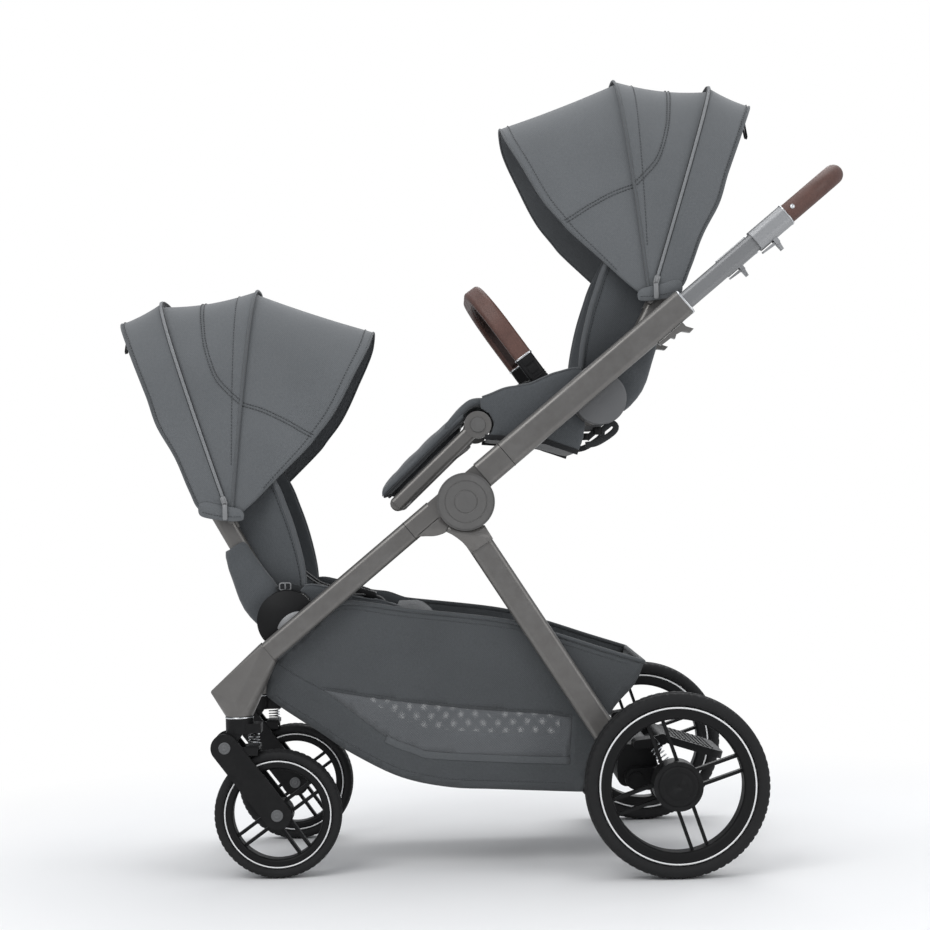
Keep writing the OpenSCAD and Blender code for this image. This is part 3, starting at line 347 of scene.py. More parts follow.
# finishes
def startMaterial(name, metallic=0.0, **plain):
    mat = bpy.data.materials.new(name)
    mat.use_nodes = True
    bsdf = mat.node_tree.nodes["Principled BSDF"]
    bsdf.inputs["Metallic"].default_value = metallic
    for k, v in plain.items():
        bsdf.inputs[k].default_value = v
    return mat, mat.node_tree, bsdf


def place(tree, group, **values):
    node = tree.nodes.new("ShaderNodeGroup")
    node.node_tree = groups[group]
    for k, v in values.items():
        node.inputs[k].default_value = (*v, 1) if isinstance(v, tuple) else v
    return node


def bump(tree, bsdf, height, strength, distance):
    node = tree.nodes.new("ShaderNodeBump")
    node.inputs["Strength"].default_value, node.inputs["Distance"].default_value = strength, distance
    tree.links.new(height, node.inputs["Height"])
    tree.links.new(node.outputs[0], bsdf.inputs["Normal"])


def dress(tree, bsdf, node, strength, depth):  # a group's colour, roughness and relief onto a surface
    tree.links.new(node.outputs["Color"], bsdf.inputs["Base Color"])
    tree.links.new(node.outputs["Roughness"], bsdf.inputs["Roughness"])
    bump(tree, bsdf, node.outputs["Height"], strength, depth)


def clothFinish(name, thread, shade, threads=620.0, heather=0.4, strength=0.35):
    mat, tree, bsdf = startMaterial(
        name, **{"Sheen Weight": 0.25, "Sheen Roughness": 0.5, "Specular IOR Level": 0.2}
    )
    node = place(tree, "weave", Thread=thread, Shade=shade, Threads=threads, Heather=heather)
    dress(tree, bsdf, node, strength, 0.0006)
    return mat


def netFinish(name, thread, shade):
    mat = clothFinish(name, thread, shade, 500.0, 0.2, 0.5)
    tree = mat.node_tree
    holes = place(tree, "net", Pitch=420.0, Width=0.82)
    tree.links.new(holes.outputs["Mask"], tree.nodes["Principled BSDF"].inputs["Alpha"])
    return mat


def solidFinish(
    name, color, worn, gloss=0.5, metallic=0.0, fineness=1500.0, wear=0.35, strength=0.12, mottle=0.12,
    **plain
):
    mat, tree, bsdf = startMaterial(name, metallic, **plain)
    node = place(tree, "grain", Color=color, Fineness=fineness, Mottle=mottle, Gloss=gloss)
    rub = place(tree, "wear", Worn=worn, Amount=wear)
    tree.links.new(node.outputs["Color"], rub.inputs["Color"])
    tree.links.new(rub.outputs["Color"], bsdf.inputs["Base Color"])
    tree.links.new(node.outputs["Roughness"], bsdf.inputs["Roughness"])
    bump(tree, bsdf, node.outputs["Height"], strength, 0.0004)
    return mat


def brushedFinish(name, color, metallic=0.75):
    mat, tree, bsdf = startMaterial(name, metallic)
    node = place(tree, "brush", Color=color)
    dress(tree, bsdf, node, 0.01, 0.0002)
    return mat


def leatherFinish(name, color, crease):
    mat, tree, bsdf = startMaterial(name, **{"Coat Weight": 0.08, "Coat Roughness": 0.4})
    node = place(tree, "hide", Color=color, Crease=crease)
    dress(tree, bsdf, node, 0.16, 0.0004)
    return mat


finish = dict(
    framePaint=solidFinish(
        "framePaint", (0.148, 0.142, 0.135), (0.26, 0.255, 0.25), 0.36, 0.55, 2200.0, 0.2, 0.06, 0.05
    ),
    hubPaint=solidFinish(
        "hubPaint", (0.135, 0.132, 0.128), (0.26, 0.255, 0.25), 0.38, 0.45, 2200.0, 0.2, 0.06, 0.05
    ),
    brushedTube=brushedFinish("brushedTube", (0.235, 0.238, 0.242)),
    brushedSleeve=brushedFinish("brushedSleeve", (0.34, 0.344, 0.35)),
    brightSteel=solidFinish("brightSteel", (0.62, 0.63, 0.64), (0.8, 0.8, 0.8), 0.2, 1.0, 900.0, 0.2, 0.04),
    blackPlastic=solidFinish(
        "blackPlastic", (0.006, 0.006, 0.0063), (0.03, 0.03, 0.03), 0.5, 0.0, 1800.0, 0.25, 0.12,
        **{"Specular IOR Level": 0.2}
    ),
    greyPlastic=solidFinish(
        "greyPlastic", (0.105, 0.107, 0.110), (0.2, 0.2, 0.2), 0.5, 0.0, 1800.0, 0.3, 0.16
    ),
    tyreRubber=solidFinish(
        "tyreRubber", (0.011, 0.011, 0.0115), (0.03, 0.03, 0.03), 0.72, 0.0, 900.0, 0.4, 0.3, 0.3,
        **{"Specular IOR Level": 0.3}
    ),
    reflectRing=solidFinish("reflectRing", (0.88, 0.88, 0.88), (0.9, 0.9, 0.9), 0.35, 0.1, 1200.0, 0.2, 0.05),
    gripLeather=leatherFinish("gripLeather", (0.135, 0.062, 0.047), (0.055, 0.024, 0.018)),
    canopyCloth=clothFinish("canopyCloth", (0.148, 0.156, 0.163), (0.094, 0.100, 0.105)),
    canopyTrim=clothFinish("canopyTrim", (0.120, 0.127, 0.133), (0.076, 0.081, 0.085), 800.0),
    seatCloth=clothFinish("seatCloth", (0.100, 0.107, 0.114), (0.057, 0.062, 0.066)),
    seatTrim=clothFinish("seatTrim", (0.030, 0.032, 0.034), (0.016, 0.017, 0.018), 800.0),
    basketCloth=clothFinish("basketCloth", (0.089, 0.095, 0.100), (0.054, 0.058, 0.061)),
    basketNet=netFinish("basketNet", (0.185, 0.192, 0.200), (0.095, 0.101, 0.107)),
    strapWeb=clothFinish("strapWeb", (0.026, 0.027, 0.028), (0.012, 0.012, 0.013), 500.0),
    threadCloth=clothFinish("threadCloth", (0.075, 0.079, 0.083), (0.042, 0.045, 0.048), 1500.0),
    seatBinding=clothFinish("seatBinding", (0.108, 0.114, 0.120), (0.064, 0.068, 0.072), 700.0),
    zipCoil=clothFinish("zipCoil", (0.31, 0.32, 0.33), (0.20, 0.205, 0.21), 900.0),
    gripDark=leatherFinish("gripDark", (0.050, 0.022, 0.017), (0.020, 0.009, 0.007)),
    lightPlastic=solidFinish(
        "lightPlastic", (0.225, 0.228, 0.232), (0.38, 0.38, 0.38), 0.4, 0.2, 1600.0, 0.2, 0.08
    ),
    threadLeather=clothFinish("threadLeather", (0.10, 0.045, 0.034), (0.05, 0.022, 0.017), 1500.0),
)
print("finishes made:", len(finish))

solidFinishes = dict(
    framePaint="rear_leg_tubes rear_leg_connectors front_leg_tubes front_leg_connectors "
               "front_knuckles front_crossbar upper_tubes upper_connectors fold_triggers "
               "upper_back_frame lower_back_frame upper_legrest_frame lower_legrest_frame",
    hubPaint="hub_covers legrest_button_left legrest_button_right",
    brushedTube="handle_tubes",
    brushedSleeve="handle_sleeves handle_triggers",
    brightSteel="rear_springs front_spring_left front_spring_right",
    blackPlastic="rear_axle_housing rear_arm_left rear_arm_right rear_rim_left rear_rim_right "
                 "front_rim_left front_rim_right caster_left caster_right fork_left fork_right "
                 "brake_pedal bumper_ends lower_seat_frame",
    greyPlastic="upper_seat_frame",
    gripLeather="handle_grip bumper_grip",
)
for finishName, names in solidFinishes.items():
    for name in names.split():
        mesh = nodes[name].data
        mesh.materials.clear()
        mesh.materials.append(finish[finishName])


# mesh tools
def addPiece(name, verts, faces, material, body, slot=None, smooth=True, closed=True):
    mesh = bpy.data.meshes.new(name)
    mesh.from_pydata([tuple(Vector(v) / 1000) for v in verts], [], faces)
    if closed:  # faces turned outward
        shape = bmesh.new()
        shape.from_mesh(mesh)
        bmesh.ops.recalc_face_normals(shape, faces=shape.faces)
        shape.to_mesh(mesh)
        shape.free()
    mesh.update()
    if smooth:
        mesh.polygons.foreach_set("use_smooth", [True] * len(mesh.polygons))
    mesh.materials.append(finish[material])
    piece = bpy.data.objects.new(name, mesh)
    bpy.context.collection.objects.link(piece)
    if body:
        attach(piece, body)
    return piece


def gridFaces(rows, cols, wrapRows=False, wrapCols=False, base=0):
    faces = []
    for i in range(rows if wrapRows else rows - 1):
        for j in range(cols if wrapCols else cols - 1):
            a, b = i * cols + j, i * cols + (j + 1) % cols
            c, d = ((i + 1) % rows) * cols + (j + 1) % cols, ((i + 1) % rows) * cols + j
            faces.append((base + a, base + b, base + c, base + d))
    return faces


def sweep(points, section, closed=False, upHint=Vector((0, 0, 1))):  # carries a small outline along a path
    points = [Vector(p) for p in points]
    count = len(points)
    verts = []
    last = None
    for i, p in enumerate(points):
        ahead = points[(i + 1) % count] if closed or i < count - 1 else p
        behind = points[i - 1] if closed or i > 0 else p
        t = (ahead - behind).normalized()
        if last is None:
            side = t.cross(upHint)
            if side.length < 1e-4:
                side = t.cross(Vector((1, 0, 0)))
        else:
            side = last - t * last.dot(t)
        side.normalize()
        last = side
        up = side.cross(t)
        verts += [p + side * a + up * b for a, b in section]
    faces = gridFaces(count, len(section), closed, True)
    if not closed:
        faces += [
            tuple(range(len(section)))[::-1],
            tuple((count - 1) * len(section) + k for k in range(len(section)))
        ]
    return verts, faces


# carries an outline along a path, turned to face given normals
def ribbon(points, normals, section, closed=False):
    points = [Vector(p) for p in points]
    count = len(points)
    verts = []
    for i, p in enumerate(points):
        ahead = points[(i + 1) % count] if closed or i < count - 1 else p
        behind = points[i - 1] if closed or i > 0 else p
        t = (ahead - behind).normalized()
        n = Vector(normals[i])
        n = (n - t * n.dot(t)).normalized()
        side = t.cross(n)
        verts += [p + side * a + n * b for a, b in section]
    faces = gridFaces(count, len(section), closed, True)
    if not closed:
        faces += [
            tuple(range(len(section)))[::-1],
            tuple((count - 1) * len(section) + k for k in range(len(section)))
        ]
    return verts, faces


def roundRect(w, h, r, steps=4):
    points = []
    for cx, cy, start in ((1, 1, 0), (-1, 1, 90), (-1, -1, 180), (1, -1, 270)):
        for k in range(steps + 1):
            a = math.radians(start + 90 * k / steps)
            points.append((cx * (w / 2 - r) + r * math.cos(a), cy * (h / 2 - r) + r * math.sin(a)))
    return points


def block(centre, axes, size, r, bevel):  # a small part with rounded corners and eased edges
    ax, ay, az = (Vector(a).normalized() for a in axes)
    half = size[2] / 2
    rings = []
    for depth, inset in (
        (-half, bevel), (-half + bevel * 0.3, bevel * 0.3), (-half + bevel, 0), (half - bevel, 0),
        (half - bevel * 0.3, bevel * 0.3), (half, bevel)
    ):
        outline = roundRect(size[0] - 2 * inset, size[1] - 2 * inset, max(0.2, r - inset))
        rings.append([Vector(centre) + ax * a + ay * b + az * depth for a, b in outline])
    n = len(rings[0])
    verts = [v for ring in rings for v in ring]
    faces = gridFaces(len(rings), n, False, True) + [
        tuple(range(n))[::-1], tuple(range(len(verts) - n, len(verts)))
    ]
    return verts, faces


def hoopAround(centre, ax, ay, w, h, r, section):  # a ring laid round a tube of rounded-rectangle section
    path = [Vector(centre) + Vector(ax) * a + Vector(ay) * b for a, b in roundRect(w, h, r, 6)]
    normals = [q - Vector(centre) for q in path]
    return ribbon(path, normals, section, True)


def roundSection(r, sides=8, flat=1.0):
    return [
        (r * math.cos(2 * math.pi * k / sides), flat * r * math.sin(2 * math.pi * k / sides))
        for k in range(sides)
    ]


def tapeSection(width, thick):
    w, t = width / 2, thick / 2
    return [
        (-w, -t * 0.6), (-w + t, -t), (w - t, -t), (w, -t * 0.6), (w, t * 0.6), (w - t, t), (-w + t, t),
        (-w, t * 0.6)
    ]


def joinParts(parts):
    verts, faces = [], []
    for v, f in parts:
        base = len(verts)
        verts += list(v)
        faces += [tuple(i + base for i in face) for face in f]
    return verts, faces


def pathLengths(points):
    out = [0.0]
    for a, b in zip(points, points[1:]):
        out.append(out[-1] + (Vector(b) - Vector(a)).length)
    return out


def alongPath(points, step, count=None):
    lengths = pathLengths(points)
    count = count or max(2, int(round(lengths[-1] / step)) + 1)
    out, k = [], 0
    for i in range(count):
        s = lengths[-1] * i / (count - 1)
        while k < len(points) - 2 and lengths[k + 1] < s:
            k += 1
        span = lengths[k + 1] - lengths[k] or 1.0
        f = (s - lengths[k]) / span
        out.append(Vector(points[k]).lerp(Vector(points[k + 1]), f))
    return out


def smoothPath(points, step=4.0):  # rounded curve through the points
    pts = [Vector(p) for p in points]
    dense = []
    for i in range(len(pts) - 1):
        p0, p1, p2, p3 = pts[max(i - 1, 0)], pts[i], pts[i + 1], pts[min(i + 2, len(pts) - 1)]
        for k in range(12):
            t = k / 12
            dense.append(
                0.5 * (
                    (2 * p1) + (p2 - p0) * t + (2 * p0 - 5 * p1 + 4 * p2 - p3) * t * t
                    + (3 * p1 - p0 - 3 * p2 + p3) * t ** 3
                )
            )
    dense.append(pts[-1])
    return alongPath(dense, step)


def stitches(points, length=3.4, gap=2.0, r=0.42):  # a row of short raised threads
    parts = []
    dots = alongPath(points, length + gap)
    for a, b in zip(dots, dots[1:]):
        d = (b - a).normalized()
        a2 = a + d * gap / 2
        b2 = b - d * gap / 2
        parts.append(sweep([a2, a2.lerp(b2, 0.5), b2], roundSection(r, 5)))
    return joinParts(parts)


# turns an outline of (radius, place) about a Y or Z axis
def lathe(profile, centre, turns=96, shape=None, upright=False):
    verts = []
    for i in range(turns):
        a = 2 * math.pi * i / turns
        for r, y in profile:
            rr = r + (shape(i, y) if shape else 0)
            turned = (
                rr * math.cos(a), rr * math.sin(a), y
            ) if upright else (rr * math.cos(a), y, rr * math.sin(a))
            verts.append(Vector(centre) + Vector(turned))
    return verts, gridFaces(turns, len(profile), True, True)


def curve2(points, step):
    return [(p.x, p.z) for p in smoothPath([Vector((x, 0, z)) for x, z in points], step)]


def plate(outline, y0, y1, bevel=0.6):  # a flat plate with eased edges, its outline given as (x, z)
    pts = [Vector((q[0], q[1])) for q in outline]
    n = len(pts)
    around = sum(pts[k - 1].cross(pts[k]) for k in range(n))
    rows = []
    step = math.copysign(bevel, y1 - y0)
    for y, inset in ((y0, bevel), (y0 + step, 0), (y1 - step, 0), (y1, bevel)):
        for k, q in enumerate(pts):
            t = (pts[(k + 1) % n] - pts[k - 1]).normalized()
            turn = inset if around > 0 else -inset
            rows.append(Vector((q.x - t.y * turn, y, q.y + t.x * turn)))
    return rows, gridFaces(4, n, False, True) + [tuple(range(n))[::-1], tuple(range(3 * n, 4 * n))]


def nodeCentre(name):
    lo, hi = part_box(name)
    return (Vector(lo) + Vector(hi)) * 500


def arraysOf(obj):
    mesh = obj.data
    co = np.zeros(len(mesh.vertices) * 3)
    mesh.vertices.foreach_get("co", co)
    return co.reshape(-1, 3), [tuple(p.vertices) for p in mesh.polygons]


# wheels
wheelLook = dict(
    rear=dict(tyre=21, width=44, ring=119.6, ringWidth=2.6, cap=31, notch=1.3, blocks=72),
    front=dict(tyre=16, width=38, ring=83.6, ringWidth=2.2, notch=1.0, blocks=60),
)


def makeWheel(end, side):
    look = wheelLook[end]
    tyreNode = f"{end}_tyre_{side}"
    lo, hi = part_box(tyreNode)
    radius = (hi.z - lo.z) * 500
    centre = nodeCentre(tyreNode)
    out = -1 if side == "left" else 1
    body = f"{end}_wheel_{side}"
    half, deep = look["width"] / 2, look["tyre"]
    turns = look["blocks"] * 4
    profile = [
        (radius - deep + 0.4, -half * 0.62), (radius - deep + 2, -half * 0.86), (
            radius - deep * 0.62, -half * 0.985
        ),
        (radius - deep * 0.38, -half), (radius - deep * 0.2, -half * 0.93), (
            radius - deep * 0.09, -half * 0.78
        ),
        (radius - deep * 0.03, -half * 0.58), (radius - 0.9, -half * 0.34), (radius - 1.1, -half * 0.30),
        (radius - 1.1, -half * 0.27), (radius - 0.2, -half * 0.24), (radius, -half * 0.12),
    ]
    profile += [(radius, 0)] + [(r, -y) for r, y in profile[::-1]]

    def tread(i, y):  # slanted notches on both shoulders, a step in every fourth turn
        a = abs(y) / half
        if 0.36 < a < 0.95 and (i + (1 if y > 0 else 0) * 2) % 4 == 0:
            return -look["notch"]
        return 0.0

    verts, faces = lathe(profile, centre, turns, tread)
    piece = addPiece(f"{end}Tyre_{side}", verts, faces, "tyreRubber", body, "tyre")
    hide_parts(tyreNode)
    parts = []
    for face in (-1, 1):  # pale line on both sides of the rim
        y = face * (look["width"] * 0.4 + 0.15)
        inner, outer = (look["ring"] + k * look["ringWidth"] / 2 for k in (-1, 1))
        ring = [(inner, y - 0.3), (inner + 0.3, y + 0.3), (outer - 0.3, y + 0.3), (outer, y - 0.3)]
        parts.append(lathe(ring, centre, 128))
    verts, faces = joinParts(parts)
    addPiece(f"{end}Line_{side}", verts, faces, "reflectRing", body, "steel")
    if end == "rear":
        y = out * 24
        cap = [
            (0.01, y + out * 3.4), (12, y + out * 3.3), (20, y + out * 2.9), (21, y + out * 2.2),
            (22.2, y + out * 2.2), (23, y + out * 2.7), (look["cap"] - 2, y + out * 2.2),
            (look["cap"], y + out * 0.8), (look["cap"], y - out * 0.2), (0.01, y - out * 0.2)
        ]
        verts, faces = lathe(cap, centre, 64)
        addPiece(f"rearCap_{side}", verts, faces, "blackPlastic", body, "black_plastic")


for end in ("rear", "front"):
    for side in ("left", "right"):
        makeWheel(end, side)
print("wheels made")

# seats: places seen from the seat hub, u forward, w up
seats = dict(
    upper=dict(hub=jointSpot("upper_recline"), face=-1), lower=dict(hub=jointSpot("lower_recline"), face=1)
)
backSlope = math.radians(61)
hoodHub = jointSpot("lower_canopy_mid_fold") - jointSpot("lower_recline")


def seatPiece(
    name, local, faces, material, body, slot=None, which=("upper", "lower"), nodesFor=None, smooth=True,
    closed=True
):
    made = []
    for s in which:
        hub, face = seats[s]["hub"], seats[s]["face"]
        verts = [Vector((hub.x + face * v[0], hub.y + v[1], hub.z + v[2])) for v in local]
        turned = faces if face > 0 else [tuple(reversed(f)) for f in faces]
        rigid = isinstance(body, str)
        piece = addPiece(
            f"{s}{name}", verts, turned, material, f"{s}_{body}" if rigid else None, slot, smooth, closed
        )
        if not rigid:  # two bodies and the places where the cloth turns are given; the piece is only baked in place, without a body
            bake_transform(piece)
        if nodesFor:
            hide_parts(*[f"{s}_{n}" for n in nodesFor])
        made.append(piece)
    return made


def onBack(t, d, y):  # t up the backrest, d to its front
    return Vector(
        (
            -math.cos(backSlope) * t + math.sin(backSlope) * d, y,
            math.sin(backSlope) * t + math.cos(backSlope) * d
        )
    )


def localArrays(node):
    verts, faces = arraysOf(nodes[node])
    hub = seats["lower"]["hub"]
    return verts * 1000 - np.array(hub), faces


# soft solids: remeshed, relaxed, blown up a little as cloth
def neighbours(faces):
    pairs = set()
    for f in faces:
        for a, b in zip(f, f[1:] + f[:1]):
            pairs.add((min(a, b), max(a, b)))
    return np.array(sorted(pairs))


def relax(verts, faces, rounds, amount=0.5):
    edges = neighbours(faces)
    degree = np.zeros(len(verts))
    np.add.at(degree, edges[:, 0], 1)
    np.add.at(degree, edges[:, 1], 1)
    for _ in range(rounds):
        total = np.zeros_like(verts)
        np.add.at(total, edges[:, 0], verts[edges[:, 1]])
        np.add.at(total, edges[:, 1], verts[edges[:, 0]])
        verts = verts + amount * (total / degree[:, None] - verts)
    return verts


def remeshed(verts, faces, voxel):
    mesh = bpy.data.meshes.new("softTrial")
    mesh.from_pydata([tuple(v / 1000) for v in verts], [], faces)
    obj = bpy.data.objects.new("softTrial", mesh)
    bpy.context.collection.objects.link(obj)
    mod = obj.modifiers.new("grid", "REMESH")
    mod.mode, mod.voxel_size = "VOXEL", voxel / 1000
    done = bpy.data.meshes.new_from_object(obj.evaluated_get(bpy.context.evaluated_depsgraph_get()))
    bpy.data.objects.remove(obj)
    trial = bpy.data.objects.new("softTrial", done)
    out = arraysOf(trial)
    bpy.data.objects.remove(trial)
    return out[0] * 1000, out[1]


# short cloth run, each point held within cap of where it began
def blown(verts, faces, pressure, cap, frames=18, pinned=None):
    mesh = bpy.data.meshes.new("softRun")
    mesh.from_pydata([tuple(v / 1000) for v in verts], [], faces)
    obj = bpy.data.objects.new("softRun", mesh)
    bpy.context.collection.objects.link(obj)
    cloth = obj.modifiers.new("cloth", "CLOTH")
    s = cloth.settings
    s.quality, s.mass = 4, 0.3
    s.tension_stiffness, s.compression_stiffness = 12, 12
    s.shear_stiffness, s.bending_stiffness = 4, 0.4
    s.use_pressure, s.uniform_pressure_force = True, pressure
    s.effector_weights.gravity = 0
    cloth.collision_settings.use_collision = False
    if pinned is not None:
        group = obj.vertex_groups.new(name="held")
        group.add([int(i) for i in np.nonzero(pinned)[0]], 1.0, "REPLACE")
        s.vertex_group_mass = "held"
    cloth.point_cache.frame_start, cloth.point_cache.frame_end = 1, frames
    scene = bpy.context.scene
    for f in range(1, frames + 1):
        scene.frame_set(f)
    done = bpy.data.meshes.new_from_object(obj.evaluated_get(bpy.context.evaluated_depsgraph_get()))
    co = np.zeros(len(done.vertices) * 3)
    done.vertices.foreach_get("co", co)
    scene.frame_set(1)
    bpy.data.objects.remove(obj)
    move = co.reshape(-1, 3) * 1000 - verts
    size = np.linalg.norm(move, axis=1)
    return verts + move * np.minimum(1, cap / np.maximum(size, 1e-9))[:, None]


legrestLook = dict(
    place=(197, -37), tilt=43, along=(4, 191), rise=(18.5, 43.5), half=144, corner=16, binding=2.2, seam=23,
    underBlock=(24, 180, 13.2, 21, 126), tube=(128.5, 21), end=(181, 24),
    catch=[(22, -9), (26, -14.5), (34, -15), (62, -11.4), (66, -9)],
)


def onLegrest(x, y, z):  # x down the leg rest, z off its front
    a = math.radians(legrestLook["tilt"])
    u, w = legrestLook["place"]
    return Vector((u + x * math.cos(a) + z * math.sin(a), y, w - x * math.sin(a) + z * math.cos(a)))


def fitLegrest(verts):  # the cushion is fuller and longer than the plain solid under it
    a = math.radians(legrestLook["tilt"])
    u, w = verts[:, 0] - legrestLook["place"][0], verts[:, 2] - legrestLook["place"][1]
    x, z = u * math.cos(a) - w * math.sin(a), u * math.sin(a) + w * math.cos(a)
    (x0, x1), (z0, z1) = legrestLook["along"], legrestLook["rise"]
    x = x0 + (x - x.min()) / (x.max() - x.min()) * (x1 - x0)
    z = z0 + (z - z.min()) / (z.max() - z.min()) * (z1 - z0)
    return np.array([onLegrest(*q) for q in zip(x, verts[:, 1], z)])


softPieces = dict(  # node, grid, relaxing rounds, pressure, reach
    SeatTub=dict(
        node="seat_tub", voxel=3.0, rounds=6, pressure=1.0, cap=1.2, body="seat", material="seatCloth",
        sole="strapWeb"
    ),
    SeatPad=dict(
        node="seat_pad", voxel=5.0, rounds=8, pressure=4.0, cap=4.0, body="seat", material="seatCloth"
    ),
    BackPad=dict(
        node="back_pad", voxel=5.0, rounds=8, pressure=4.0, cap=4.0, body="back", material="seatCloth",
        squeeze=0.77
    ),
    LegrestPad=dict(
        node="legrest_pad", voxel=4.5, rounds=6, pressure=4.0, cap=3.0, body="legrest",
        material="seatCloth", fit=fitLegrest
    ),
)


softVerts = {}


def makeSoft(name):
    p = softPieces[name]
    verts, faces = localArrays("lower_" + p["node"])
    verts, faces = remeshed(verts, faces, p["voxel"])
    verts = relax(verts, faces, p["rounds"])
    verts[:, 1] *= p.get("squeeze", 1.0)
    verts = blown(verts, faces, p["pressure"], p["cap"])
    if "fit" in p:
        verts = p["fit"](verts)
    softVerts[name] = verts
    for piece in seatPiece(name, verts, faces, p["material"], p["body"], "seat_fabric", nodesFor=[p["node"]]):
        if "sole" in p:  # the underside is a darker cloth
            piece.data.materials.append(finish[p["sole"]])
            for f in piece.data.polygons:
                f.material_index = int(f.normal.z < -0.7)
    print("soft piece:", name, len(verts), "points")


for softName in softPieces:
    makeSoft(softName)


# backrest shell: a scooped wing on each side, a bound front edge, the side tube and the sleeve below it
shellLook = dict(
    start=26, end=498, rows=62, across=44, thick=7,
    front=[
        (20, 44), (41, 54), (70, 65), (98, 73), (128, 80), (157, 85), (182, 89), (204, 90), (300, 86),
        (400, 74), (460, 58), (500, 30)
    ],
    rear=[(20, -50), (80, -48), (140, -36), (190, -18), (300, -9), (400, -4), (500, 9)],
    width=[
        (20, 1.0), (190, 1.0), (240, 0.98), (300, 0.95), (340, 0.92), (400, 0.85), (440, 0.79), (470, 0.74),
        (490, 0.68), (500, 0.60)
    ],
    binding=4.2, seamBack=10,
)
tubeLook = dict(start=84, end=208, y=123.7, d=-12.5, wide=31, deep=21, corner=9)
sleeveLook = dict(  # place up the back, rear edge, front edge, half thickness
    rows=[
        (140, -36, -1, 12.5), (134, -40, 1, 13.6), (112, -46, 2, 14.5), (88, -51, 4, 15.5),
        (62, -56, 8, 16.5), (45, -57, 9, 16.5), (28, -55, 4, 15.5), (14, -51, -6, 13.5), (4, -47, -18, 9.0),
        (0, -43, -26, 4.0)
    ],
    y=127.6,
)


def table(points, x):  # smooth curve through a few known places
    xs, ys = [q[0] for q in points], [q[1] for q in points]
    x = min(max(x, xs[0]), xs[-1])
    i = max(0, min(len(xs) - 2, int(np.searchsorted(xs, x)) - 1))
    slope = lambda k: (
        ys[min(k + 1, len(xs) - 1)] - ys[max(k - 1, 0)]
    ) / (xs[min(k + 1, len(xs) - 1)] - xs[max(k - 1, 0)])
    h = xs[i + 1] - xs[i]
    t = (x - xs[i]) / h
    rise = ys[i] * (2 * t ** 3 - 3 * t ** 2 + 1) + ys[i + 1] * (3 * t ** 2 - 2 * t ** 3)
    return rise + h * (slope(i) * (t ** 3 - 2 * t ** 2 + t) + slope(i + 1) * (t ** 3 - t ** 2))


def shellSection(t):
    front, back, width = (table(shellLook[k], t) for k in ("front", "rear", "width"))
    mid = max(0.0, back + 34)
    half = [
        (0, back), (68, back + 1), (99, back + 8), (110, back + 20), (111.5, mid * 0.6),
        (117, mid + (front - mid) * 0.35), (131, mid + (front - mid) * 0.75), (141, front)
    ]
    line = smoothPath([Vector((y * width, d, 0)) for y, d in half], 4)
    line = alongPath(line, 4, shellLook["across"] // 2 + 1)
    return [(-v.x, v.y) for v in line[::-1]] + [(v.x, v.y) for v in line[1:]]


